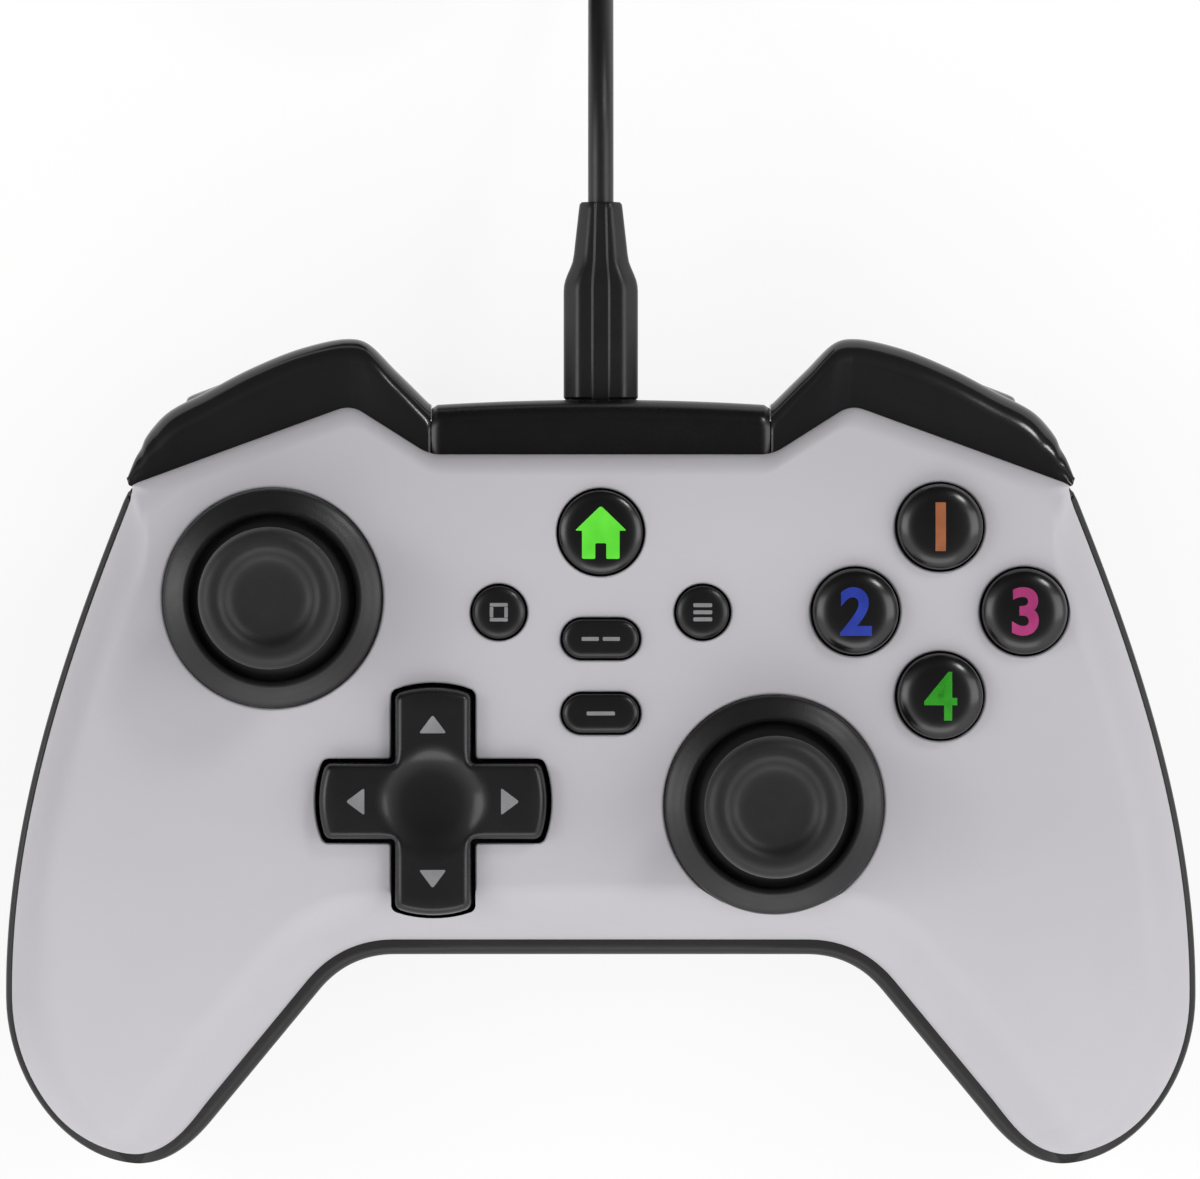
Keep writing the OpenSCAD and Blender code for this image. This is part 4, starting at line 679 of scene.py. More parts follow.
def half_sections(front, inset):
    """Sections of the right half of a shell, from the middle to the grip tip."""
    o, i = outer_edge, inner_edge
    if front:
        tip = (RIM_SIDE + RIM_IN) / 2
        back = RIM_SIDE * (1 - fades(stations, corner_run - 1.0, 2.5))
        o = moved_in(o, lerp(back, tip, smooth((runs(o) - runs(o)[-1]) / TIP_BLEND + 1)), -1)
        i = moved_in(i, lerp(RIM_IN, tip, smooth((runs(i) - runs(i)[-1]) / TIP_BLEND + 1)), 1)
    held = np.where(stations < 0.8, stations, lerp(0.8, 0.93 if front else 0.9, (stations - 0.8) / 0.2))
    places = stations if inset == 0 else held
    o, i, true = along(o, places), along(i, places), along(outer_edge, places)
    o[0, 0] = i[0, 0] = 0.0
    rows = []
    for k, f in enumerate(places):
        bay = float(bay_share(f))
        step = unit(i[k] - o[k])
        thick = thick_o = inset
        if not front:
            thick *= lerp(1.0, 1.8, smooth((f - 0.75) / 0.12))
            thick_o = thick + BAY_DEPTH * float(fades(f, deep_run, corner_run - deep_run))
            thick_o -= 0.9 * math.exp(-(f * outer_len - corner_run + 0.8) ** 2)
        o[k] += step * thick_o
        i[k] -= step * thick
        w = np.linalg.norm(i[k] - o[k])
        if front:
            rim_i = part_at(i[k, 1])
            soft = float(fades(f, corner_run - CORNER_BLEND, 2 * CORNER_BLEND))
            ro, ri = max(0.5, lerp(EDGE_ROUND, LIP_ROUND, soft) - inset), max(0.5, EDGE_ROUND - inset)
            run, rise, share = marks(w, ro, ri, 16, 26)
            slack = CORNER_BLEND * np.clip(run / ro, 0, 1)
            lip = fades(f, corner_run - slack, 0.6 + 2 * slack)
            rim_o = lerp(part_at(o[k, 1]), face_at(*true[k]) - LIP_H, lip)
        else:
            rim_o = lerp(part_at(o[k, 1]) - PART_GAP, BAY_Z, bay)
            rim_i = part_at(i[k, 1]) - PART_GAP
            run, rise, share = marks(w, BELLY_ROUND - inset, BELLY_ROUND - inset, 16, 18)
        p = o[k] + run[:, None] * step
        rim = lerp(rim_o, rim_i, share)
        if front:
            z = rim + rise * (face_at(p[:, 0], p[:, 1]) - inset - rim)
        else:
            belly = 7.0 * math.sin(math.pi * past(f, 0.12, 0.66)) ** 2 - 1.2
            z = np.maximum(inset, rim - rise * (rim - inset - belly))
            if inset == 0:
                p, z = softened(p, z, step, min(1.0, 0.2 * w), min(1.4, 0.2 * w))
        rows.append(np.column_stack([p, z]))
    return rows


def skin(front):
    """Closed skin of a shell: outer and inner grids joined along the rim and closed at the grip tips."""
    grids = []
    for inset in (0.0, WALL):
        right = half_sections(front, inset)
        left = [r * [-1, 1, 1] for r in right[:0:-1]]
        grids.append(left + right)
    n, m, k = len(grids[0]), len(grids[0][0]), len(grids[1][0])
    points = np.concatenate([np.concatenate(g) for g in grids])
    q = n * m
    faces = grid_faces(n, m) + [f[::-1] for f in grid_faces(n, k, start=q)]
    for a, b in ((0, q), (m - 1, q + k - 1)):
        faces += [(a + j * m, a + j * m + m, b + j * k + k, b + j * k) for j in range(n - 1)]
    for j in (0, n - 1):
        a, b = j * m, q + j * k
        faces += [tuple(range(a, a + m)), tuple(range(b + k - 1, b - 1, -1)), (a, b, b + k - 1, a + m - 1)]
    return points, faces


def true_normals(mesh):
    """Gives every corner that lies on the faceplate's surface the normal of that surface."""
    at = np.empty(len(mesh.vertices) * 3)
    mesh.vertices.foreach_get("co", at)
    at = at.reshape(-1, 3) / MM
    e = 0.05
    dx = (face_at(at[:, 0] + e, at[:, 1]) - face_at(at[:, 0] - e, at[:, 1])) / (2 * e)
    dy = (face_at(at[:, 0], at[:, 1] + e) - face_at(at[:, 0], at[:, 1] - e)) / (2 * e)
    up = np.stack([-dx, -dy, np.ones(len(at))], 1)
    up /= np.linalg.norm(up, axis=1)[:, None]
    on = np.abs(at[:, 2] - face_at(at[:, 0], at[:, 1])) < 0.01
    normals = [tuple(c.vector) for c in mesh.corner_normals]
    for face in mesh.polygons:
        flat = np.array(face.normal)
        for c, v in zip(face.loop_indices, face.vertices):
            if on[v] and flat @ up[v] > 0.96:
                normals[c] = tuple(up[v])
    mesh.normals_split_custom_set(normals)


def stadium_plan(l, w, steps=24):
    a = np.linspace(-math.pi / 2, math.pi / 2, steps + 1)
    end = np.stack([(l - w) / 2 + w / 2 * np.cos(a), w / 2 * np.sin(a)], 1)
    return np.concatenate([end, -end])


def rounded_plan(corners, radii, steps=8):
    """A closed outline with its corners rounded by quadratic bends."""
    out, n = [], len(corners)
    c = [np.array(p, float) for p in corners]
    for k in range(n):
        out += bend(c[k - 1], c[k], c[(k + 1) % n], radii[k], steps)
    return np.array(out)


def cross_plan(l, w, tip_round, arm_round):
    """Outline of a cross whose tips are arcs of a circle of diameter l."""
    h, r = w / 2, l / 2
    x = math.sqrt(r * r - h * h)
    half_tip = math.atan2(h, x)
    out = []
    for k in range(4):
        c, s = math.cos(k * math.pi / 2), math.sin(k * math.pi / 2)
        turn = np.array([[c, -s], [s, c]])
        tip = [turn @ (r * math.cos(a), r * math.sin(a)) for a in np.linspace(-half_tip, half_tip, 13)[2:-2]]
        before, first, last, inner, after = (turn @ p for p in ((h, -h), (x, -h), (x, h), (h, h), (h, x)))
        out += bend(before, first, tip[0], tip_round, 6) + tip + bend(tip[-1], last, inner, tip_round, 6)
        out += from_to(last, inner, tip_round, arm_round, 14) + bend(last, inner, after, arm_round, 6)
        out += from_to(inner, after, arm_round, tip_round, 14)
    return np.array(out)


def opening(plan, centre, edge=0.45, deep=16.0, seat=None):
    """A cutter through the faceplate whose mouth is rounded off along the surface."""
    plan = np.asarray(plan) + centre
    normal = outline_normals(plan)
    rows = []

    def row(off, height=None, level=None):
        p = plan + normal * off
        rows.append(flat(p, face_at(p[:, 0], p[:, 1]) + height if level is None else level))

    if seat:
        inner, depth = seat
        level = float(face_at(*centre)) - depth
        row(inner, level=level - deep)
        row(inner, level=level)
        row(0.0, level=level)
    else:
        row(0.0, -deep)
    for q in np.linspace(0, math.pi / 2, 7):
        row(edge * (1 - math.cos(q)), -edge + edge * math.sin(q))
    row(edge + 0.05, 0.4)
    row(edge + 0.05, 6.0)
    return loft(rows)


STICKS = {"left": (-41.9, 20.0), "right": (22.1, -6.4)}
DPAD, GUIDE, MENU, UPPER_PILL, LOWER_PILL = (-21.4, -5.9), (0.0, 28.4), (13.0, 18.2), (0.0, 14.8), (0.0, 5.3)
FACE_MID, FACE_PITCH = (43.3, 18.3), 10.8
FACE_SPOTS = {key: (FACE_MID[0] + FACE_PITCH * x, FACE_MID[1] + FACE_PITCH * y)
              for key, x, y in (("top", 0, 1), ("left", -1, 0), ("right", 1, 0), ("bottom", 0, -1))}
FACE_D, GUIDE_D, MENU_D, PILL_L, PILL_W, BUTTON_GAP = 10.9, 10.7, 6.7, 9.7, 4.9, 0.3
DPAD_L, DPAD_W, DPAD_GAP = 29.4, 10.0, 0.4
RING_R, RING_GAP, RING_SEAT, RING_DEEP = 14.0, 0.1, 2.5, 1.2
TRIGGER_PIN, TRIGGER_TURN = (44.3, 40.9, 14.5), math.radians(21.0)
MOTOR_X, MOTOR_Z, MOTOR_SEAT_R = 57.0, 12.0, 8.0


def front_shell():
    obj = mesh_object("faceplate", *skin(True), "casing", pale.mat, "pale_shell", 42)
    tools = [opening(circle_plan(RING_R + RING_GAP, 128), at, 0.4, seat=(-RING_SEAT, RING_DEEP))
             for at in STICKS.values()]
    tools += [opening(circle_plan(FACE_D / 2 + BUTTON_GAP), at, 0.35) for at in FACE_SPOTS.values()]
    tools += [opening(circle_plan(GUIDE_D / 2 + BUTTON_GAP), GUIDE, 0.35)]
    tools += [opening(circle_plan(MENU_D / 2 + BUTTON_GAP, 72), (s * MENU[0], MENU[1]), 0.3) for s in (-1, 1)]
    tools += [opening(stadium_plan(PILL_L + 2 * BUTTON_GAP, PILL_W + 2 * BUTTON_GAP), at, 0.3)
              for at in (UPPER_PILL, LOWER_PILL)]
    tools += [opening(cross_plan(DPAD_L + 2 * DPAD_GAP, DPAD_W + 2 * DPAD_GAP, 0.8, 0.5), DPAD, 0.3)]
    combine(obj, tools)
    shade(obj.data, 42)
    true_normals(obj.data)
    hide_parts("front_shell")


def trigger_frame(side, x, y, z):
    """Points from a trigger's own frame: along its pin, outward, and up."""
    c, s = math.cos(TRIGGER_TURN), math.sin(TRIGGER_TURN)
    x, y, z = np.broadcast_arrays(np.asarray(x, float), np.asarray(y, float), np.asarray(z, float))
    px, py, pz = TRIGGER_PIN
    return np.stack([side * (px + x * c + y * s), py - x * s + y * c, pz + z], -1)


def trigger_solid(side, plan, lo, hi):
    """A plan of (outward, up) points between two places along a trigger's pin."""
    plan = np.asarray(plan, float)
    return loft([trigger_frame(side, x, plan[:, 0], plan[:, 1]) for x in (lo, hi)])


def rear_shell():
    """The back with its screw posts, trigger ears and motor seats, bored for the screws and pins."""
    obj = mesh_object("rear_housing", *skin(False), "casing", black.mat, "black_shell", 42)
    adds = [prism(circle_plan(4.2, 48, at), seat - 2.5, top - 0.2) for *at, seat, top in SCREWS]
    ear_r, ear_back = 2.9, -7.5
    ear = [(ear_r * math.cos(a), ear_r * math.sin(a)) for a in np.linspace(-1.57, 1.57, 25)]
    ear = [(ear_back, -ear_r)] + ear + [(ear_back, ear_r)]
    for side in (-1, 1):
        adds += [trigger_solid(side, ear, x - 1.1, x + 1.1) for x in (-4.0, 4.0)]
        x = side * MOTOR_X
        adds += [box((x - 6.5, y - 1.2, 1.2), (x + 6.5, y + 1.2, 9.0)) for y in (-26.0, -18.0)]
    combine(obj, adds, "UNION")
    cuts = [lathe([(0, z - 20), (3.3, z - 20), (3.0, z - 4), (3.0, z), (1.5, z), (1.5, 30), (0, 30)], at, 48)
            for *at, z, _ in SCREWS]
    for side in (-1, 1):
        cuts.append(trigger_solid(side, circle_plan(1.5, 32), -9.0, 9.0))
        seat = circle_plan(MOTOR_SEAT_R, 64, (side * MOTOR_X, MOTOR_Z))
        cuts.append(loft([upright(seat, y) for y in (-38.0, -6.0)]))
    combine(obj, cuts)
    shade(obj.data, 42)
    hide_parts("rear_shell")


front_shell()
rear_shell()


# Bumpers, triggers and bridge

# Places along a bumper, and how far its front edge lies from the lip there
BUMPER_X = [22.1, 25.5, 28.8, 32.1, 37, 43, 49, 54, 57.6, 58.6, 59.2, 60.3]
BUMPER_REACH = [(0, 7.4), (0.8, 9.4), (1.4, 11), (0.5, 9.4), (1.5, 10), (2, 9.6), (1.9, 8.7), (1.9, 7.8),
                (0.9, 6.1), (0.5, 5), (0.6, 3.2), (0.4, 1.2)]
BUMPER_LOW, BUMPER_TOP_GAP, BUMPER_CROWN, BUMPER_EDGE = 19.5, 0.5, 0.25, 0.5
BUMPER_PIN, SWITCH_X = (25.5, 40.4), 50.5


def lip_line(x):
    """The faceplate's shoulder edge as two straight lines."""
    return np.where(x < PEAK[0], lerp(NOTCH[1], PEAK[1], (x - NOTCH[0]) / (PEAK[0] - NOTCH[0])),
                    lerp(PEAK[1], SHOULDER[1], (x - PEAK[0]) / (SHOULDER[0] - PEAK[0])))


def bumper_section(back, front, closed):
    """One closed loop: top, rounded front edge, front face, lower edge and the hollow behind."""
    w = np.linalg.norm(front - back)
    d = (front - back) / w
    top = float(face_at(*back)) - LIP_H - BUMPER_TOP_GAP
    r, t = min(4.2, 0.6 * w), min(2.0, 0.45 * w)
    crown, edge, low = BUMPER_CROWN, BUMPER_EDGE, BUMPER_LOW
    out = [(x, top - crown * (x / (w - r)) ** 2) for x in np.linspace(0, w - r, 8)[:-1]]
    out += [(w - r + r * math.sin(a), top - crown - (r - crown) * (1 - math.cos(a)))
            for a in np.linspace(0, math.pi / 2, 13)]
    out += [(w, z) for z in np.linspace(top - r, low + edge, 6)[1:]]
    out += [(w - edge + edge * math.cos(a), low + edge - edge * math.sin(a))
            for a in np.linspace(0, math.pi / 2, 5)[1:]]
    if closed:
        out += [(0.0, lerp(low, top - 0.3, k / 5)) for k in range(6)]
    else:
        out += [(w - t, low), (w - t, top - r), (w - 0.3 * r - t, top - 0.3 * r - t / 2),
                (w - r - t / 2, top - crown - t), (0.0, top - t), (0.0, top - t / 2)]
    return np.array([(back[0] + d[0] * a, back[1] + d[1] * a, z) for a, z in out])


def bumper_solid(side):
    """The cover from the bridge to the corner, with both ends drawn in."""
    def rear(x):
        return np.stack([x, lip_line(x) - np.interp(x, [58.6, 59.2], [0.8, 0.1])], 1)

    fine, solid_from = 9, 59.1
    x = np.array(BUMPER_X)
    f = spline(rear(x) + np.array(BUMPER_REACH), steps=fine)
    xs = np.concatenate([np.linspace(a, b, fine, endpoint=False) for a, b in zip(x, x[1:])] + [x[-1:]])
    b = rear(xs) - np.exp(-((xs - PEAK[0]) / 1.2) ** 2)[:, None] * [0, 0.35]
    rows = [bumper_section(b[k], f[k], xs[k] > solid_from) for k in range(len(xs))]
    mids = [rows[0].mean(0), rows[-1].mean(0)]
    first = mids[0] + (rows[0] - mids[0]) * 0.95
    first[:, 0] = rows[0][:, 0] - 0.25
    last = mids[1] + (rows[-1] - mids[1]) * [0.8, 0.8, 0.97] + [0.2, 0, 0]
    solid = loft([first] + rows + [last])
    return solid if side > 0 else mirrored(solid)


def bumper(name, side):
    obj = mesh_object(name + "_cover", *bumper_solid(side), name, bumper_black.mat, "dark_plastic", 32)
    x, y = side * BUMPER_PIN[0], BUMPER_PIN[1]
    low, high, finger = 20.8, 25.1, side * SWITCH_X
    adds = [prism(circle_plan(2.6, 40, (x, y)), low, high), box((x - 1.1, y, low), (x + 1.1, y + 7.0, high)),
            box((finger - 1.5, 35.0, 22.0), (finger + 1.5, 45.2, 25.0))]
    combine(obj, adds, "UNION")
    combine(obj, [prism(circle_plan(1.05, 32, (x, y)), 10.0, 27.7)])
    shade(obj.data, 32)
    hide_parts(name)


# Outward and up from a trigger's pin
TRIGGER = [(-2, 4.4), (1.5, 4.4), (5, 4.35), (7.1, 3.1), (8.25, 0.8), (8.1, -3), (7.8, -6), (8.1, -8.6),
           (8.8, -10.5), (8.2, -11.35), (6.7, -10.2), (5, -7), (3.6, -4.4), (0, -3.6), (-3.2, -1.2),
           (-3.35, 2.6)]
TRIGGER_HOLLOW = [(-6, -16), (-6, 3.2), (4.4, 3.2), (5.8, 2), (6.3, 0), (6.2, -3), (5.8, -6), (5.9, -8),
                  (5.2, -9.4), (4, -16)]


def trigger(name, side):
    plan = spline(TRIGGER, closed=True, steps=6)[::-1]
    rows = [trigger_frame(side, s, p[:, 0], p[:, 1]) for p, s in pillow(plan, 7.5, 0.9)]
    obj = mesh_object(name + "_hood", *loft(rows), name, gloss_soft.mat, "black_shell", 40)
    bore = trigger_solid(side, circle_plan(1.55, 40), -9, 9)
    combine(obj, [trigger_solid(side, TRIGGER_HOLLOW, -5.5, 5.5), bore])
    shade(obj.data, 40)
    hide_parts(name)


def bridge():
    """A strip with a bulged, rounded front edge, tabs for the bumper pins and a slot for the cable plug."""
    half, back, front, low, top, r = 21.7, 37.6, 45.5, 18.5, 31.81, 3.0
    bulge, edge = 0.7, 0.4
    curve = (half ** 2 + bulge ** 2) / (2 * bulge)
    rows = []
    for x in np.linspace(-half, half, 61):
        inset = edge * (1 - math.sqrt(max(0, 1 - max(0, (abs(x) - half + edge) / edge) ** 2)))
        f = front - (curve - math.sqrt(curve ** 2 - x * x)) - inset
        t, b = top - inset, low + inset
        loop = [(back, b), (f - edge, b)]
        loop += [(f - edge + edge * math.sin(a), b + edge - edge * math.cos(a))
                 for a in np.linspace(0, math.pi / 2, 4)[1:]]
        loop += [(f, z) for z in np.linspace(b + edge, t - r, 5)[1:]]
        loop += [(f - r + r * math.cos(a), t - r + r * math.sin(a))
                 for a in np.linspace(0, math.pi / 2, 13)[1:]]
        loop += [(y, t) for y in np.linspace(f - r, back, 5)[1:]]
        rows.append(np.array([(x, y, z) for y, z in loop]))
    obj = mesh_object("bridge_strip", *loft(rows), "casing", bridge_black.mat, "black_shell", 35)
    tabs = [box((x - 3.4, 38.0, z), (x + 3.3, 42.8, z + 2.0)) for x in (-25.0, 25.0) for z in (18.5, 25.4)]
    combine(obj, tabs, "UNION")
    w, h = 4.8, 3.1
    slot = rounded_plan([(-w, -h), (w, -h), (w, h), (-w, h)], [1.0] * 4) + [0, PLUG_Z]
    holes = [prism(circle_plan(1.0, 32, (s * BUMPER_PIN[0], BUMPER_PIN[1])), 10.0, 40.0) for s in (-1, 1)]
    combine(obj, [loft([upright(slot, y) for y in (30.0, 60.0)])] + holes)
    shade(obj.data, 35)
    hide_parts("top_bridge")


bumper("left_bumper", -1)
bumper("right_bumper", 1)
trigger("left_trigger", -1)
trigger("right_trigger", 1)
bridge()


# Buttons, d-pad and sticks

PAD_TOP, FLANGE_GAP, STEM_R, FACE_TRAVEL, SMALL_TRAVEL, SMALL_RISE = 24.6, 1.2, 2.3, 1.4, 0.8, 1.1
DPAD_RISE, DPAD_SKIRT, DISH_R, DISH_DEEP, DPAD_EDGE, DPAD_DRAFT = 2.6, 3.0, 7.0, 1.5, 0.9, 0.25
ARROW_AT, SIGN_PROUD = 9.8, 0.02


def inlay(name, mesh, surface, body, material, slot, proud=SIGN_PROUD, deep=0.25, fine=0.35):
    """A flat mesh in millimetres laid on a surface z(x, y) as a thin sheet with thickness."""
    bm = bmesh.new()
    bm.from_mesh(mesh)
    bmesh.ops.triangulate(bm, faces=bm.faces)
    for _ in range(6):
        long = [e for e in bm.edges if e.calc_length() > fine]
        if not long:
            break
        bmesh.ops.subdivide_edges(bm, edges=long, cuts=1)
        bmesh.ops.triangulate(bm, faces=bm.faces)
    lower = bmesh.ops.extrude_face_region(bm, geom=list(bm.faces))["geom"]
    lower = {g for g in lower if isinstance(g, bmesh.types.BMVert)}
    for v in bm.verts:
        z = float(surface(v.co.x, v.co.y))
        v.co.z = z + proud if v in lower else z - deep
    for v in bm.verts:
        v.co *= MM
    out = bpy.data.meshes.new(name)
    bm.to_mesh(out)
    bm.free()
    return dress(bpy.data.objects.new(name, out), body, material, slot, 60)


def outlines_mesh(outlines, centre):
    """A flat face for each outline, about a centre."""
    mesh = bpy.data.meshes.new("outlines")
    pts, faces = [], []
    for o in outlines:
        faces.append(tuple(range(len(pts), len(pts) + len(o))))
        pts += [(centre[0] + x, centre[1] + y, 0.0) for x, y in o]
    mesh.from_pydata(pts, [], faces)
    return mesh


def digit_mesh(character, centre, height, bold):
    """A digit of the built-in typeface, centred and scaled to a height."""
    curve = bpy.data.curves.new("digit", "FONT")
    curve.body, curve.size, curve.offset, curve.resolution_u = character, 1.0, bold, 6
    obj = bpy.data.objects.new("digit", curve)
    bpy.context.scene.collection.objects.link(obj)
    bpy.context.view_layer.update()
    mesh = bpy.data.meshes.new_from_object(obj.evaluated_get(bpy.context.evaluated_depsgraph_get()))
    bpy.data.objects.remove(obj)
    bpy.data.curves.remove(curve)
    co = np.array([v.co[:2] for v in mesh.vertices])
    mid, scale = (co.min(0) + co.max(0)) / 2, height / np.ptp(co[:, 1])
    for v, c in zip(mesh.vertices, co):
        v.co = ((c[0] - mid[0]) * scale + centre[0], (c[1] - mid[1]) * scale + centre[1], 0.0)
    bm = bmesh.new()
    bm.from_mesh(mesh)
    bmesh.ops.remove_doubles(bm, verts=bm.verts, dist=1e-4)
    bm.to_mesh(mesh)
    bm.free()
    return mesh


def dome(p, r, rise, bulge, edge):
    """Surface of a round button: a shallow dome that falls away faster near its rim."""
    top = float(face_at(*p)) + rise

    def z(x, y):
        q = min(1.0, math.hypot(x - p[0], y - p[1]) / r)
        return top - bulge * q * q - edge * (1 - math.sqrt(1 - max(0.0, (q - 0.55) / 0.45) ** 2.6))
    return z


def round_button(name, p, d, rise, travel, bulge, edge, material):
    """A button with a stem and a flange under the faceplate; returns the surface of its top."""
    r, flange = d / 2, float(face_at(*p)) - WALL - FLANGE_GAP
    z = dome(p, r, rise, bulge, edge)
    low = PAD_TOP + travel + 0.2
    profile = [(0, low), (STEM_R, low), (STEM_R, flange - 1), (r + 1.0, flange - 1), (r + 1.1, flange - 0.9),
               (r + 1.1, flange - 0.1), (r + 1.0, flange), (r, flange), (r, z(p[0] + r, p[1]))]
    profile += [(r * (1 - t), z(p[0] + r * (1 - t), p[1])) for t in (np.linspace(0, 1, 40) ** 1.6)[1:-1]]
    profile.append((0, z(*p)))
    obj = mesh_object(name + "_cap", *lathe(profile, p, 96), name, material, "gloss_black", 50)
    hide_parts(name)
    return z


def face_buttons():
    for (key, p), char, colour in zip(FACE_SPOTS.items(), "1234", inks):
        name = "face_button_" + key
        z = round_button(name, p, FACE_D, 2.6, FACE_TRAVEL, 0.75, 0.95, gloss.mat)
        digit = digit_mesh(char, p, 6.2, 0.01 if char == "4" else 0.03)
        inlay("digit_" + char, digit, z, name, colour.mat, "icon_light")


def bar(w, h, x=0.0, y=0.0):
    """A bar with rounded ends about a point."""
    corners = [(x - w / 2, y - h / 2), (x + w / 2, y - h / 2), (x + w / 2, y + h / 2), (x - w / 2, y + h / 2)]
    return rounded_plan(corners, [min(w, h) * 0.3] * 4, 4)


def centre_buttons():
    z = round_button("guide_button", GUIDE, GUIDE_D, SMALL_RISE, SMALL_TRAVEL, 0.3, 0.7, gloss.mat)
    house = rounded_plan([(-2.4, -3.4), (-0.7, -3.4), (-0.7, -1.4), (0.7, -1.4), (0.7, -3.4), (2.4, -3.4),
                          (2.4, 0.2), (3.3, 0.2), (0, 3.4), (-3.3, 0.2), (-2.4, 0.2)],
                         [.25, .2, .2, .2, .2, .25, .1, .25, .4, .25, .1], 4)
    house = outlines_mesh([house], GUIDE)
    icon = inlay("guide_house", house, z, "guide_button", glow.mat, "icon_light", 0.08, 0.9)
    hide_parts("guide_icon")
    frame_sign = [bar(2.3, 0.45, 0, y) for y in (0.95, -0.95)]
    frame_sign += [bar(0.45, 1.35, x, 0) for x in (-0.93, 0.93)]
    bars_sign = [bar(2.4, 0.5, 0, y) for y in (0.9, 0.0, -0.9)]
    for name, s, sign in (("left_menu_button", -1, frame_sign), ("right_menu_button", 1, bars_sign)):
        p = (s * MENU[0], MENU[1])
        z = round_button(name, p, MENU_D, SMALL_RISE, SMALL_TRAVEL, 0.25, 0.5, small_black.mat)
        inlay(name + "_sign", outlines_mesh(sign, p), z, name, mark_grey.mat, "icon_light")
    pill("upper_pill_button", UPPER_PILL, [bar(2.2, 0.5, x) for x in (-1.35, 1.35)])
    pill("lower_pill_button", LOWER_PILL, [bar(3.6, 0.5)])


def pill(name, p, sign):
    face, half = float(face_at(*p)), PILL_W / 2
    flange, top = face - WALL - FLANGE_GAP, face + SMALL_RISE
    plan = stadium_plan(PILL_L, PILL_W) + p
    normal = outline_normals(plan)

    def height(off):
        q = 1 - min(1.0, off / half)
        return top - 0.15 * q * q - 0.5 * (1 - math.sqrt(1 - max(0.0, (q - 0.6) / 0.4) ** 2.4))

    def z(x, y):
        run = max(0.0, abs(x - p[0]) - (PILL_L - PILL_W) / 2)
        return height(half - math.hypot(run, y - p[1]))

    offs = [(1.1, flange - 1), (1.1, flange), (0.0, flange)]
    offs += [(-o, height(o)) for o in half * 0.97 * np.linspace(0, 1, 24) ** 1.6]
    rows = [flat(plan + normal * o, h) for o, h in offs]
    obj = mesh_object(name + "_cap", *loft(rows), name, small_black.mat, "gloss_black", 50)
    combine(obj, [prism(circle_plan(STEM_R, 40, p), PAD_TOP + SMALL_TRAVEL + 0.2, flange - 0.5)], "UNION")
    shade(obj.data, 50)
    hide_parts(name)
    inlay(name + "_sign", outlines_mesh(sign, p), z, name, mark_grey.mat, "icon_light")


def dpad_surface():
    """Satin arms round a polished dish."""
    s = moulded("dpad_black", (0.095, 0.095, 0.1), (0.115, 0.115, 0.12), (0.24, 0.32), 2600, 0.004, 50.0)
    middle = (DPAD[0] * MM, DPAD[1] * MM, 0.0)
    away = s.node("ShaderNodeVectorMath", {0: s.stretched((1, 1, 0)), 1: middle}, operation="DISTANCE")
    span = {"Value": away.outputs["Value"], "From Min": 5.8 * MM, "From Max": 7.2 * MM,
            "To Min": 0.45, "To Max": 1.0}
    satin = s.node("ShaderNodeMapRange", span, interpolation_type="SMOOTHSTEP")
    plain = s.bsdf.inputs["Roughness"].links[0].from_socket
    rough = s.node("ShaderNodeMath", {0: plain, 1: satin.outputs["Result"]}, operation="MULTIPLY")
    s.drive("Roughness", rough.outputs["Value"])
    return s


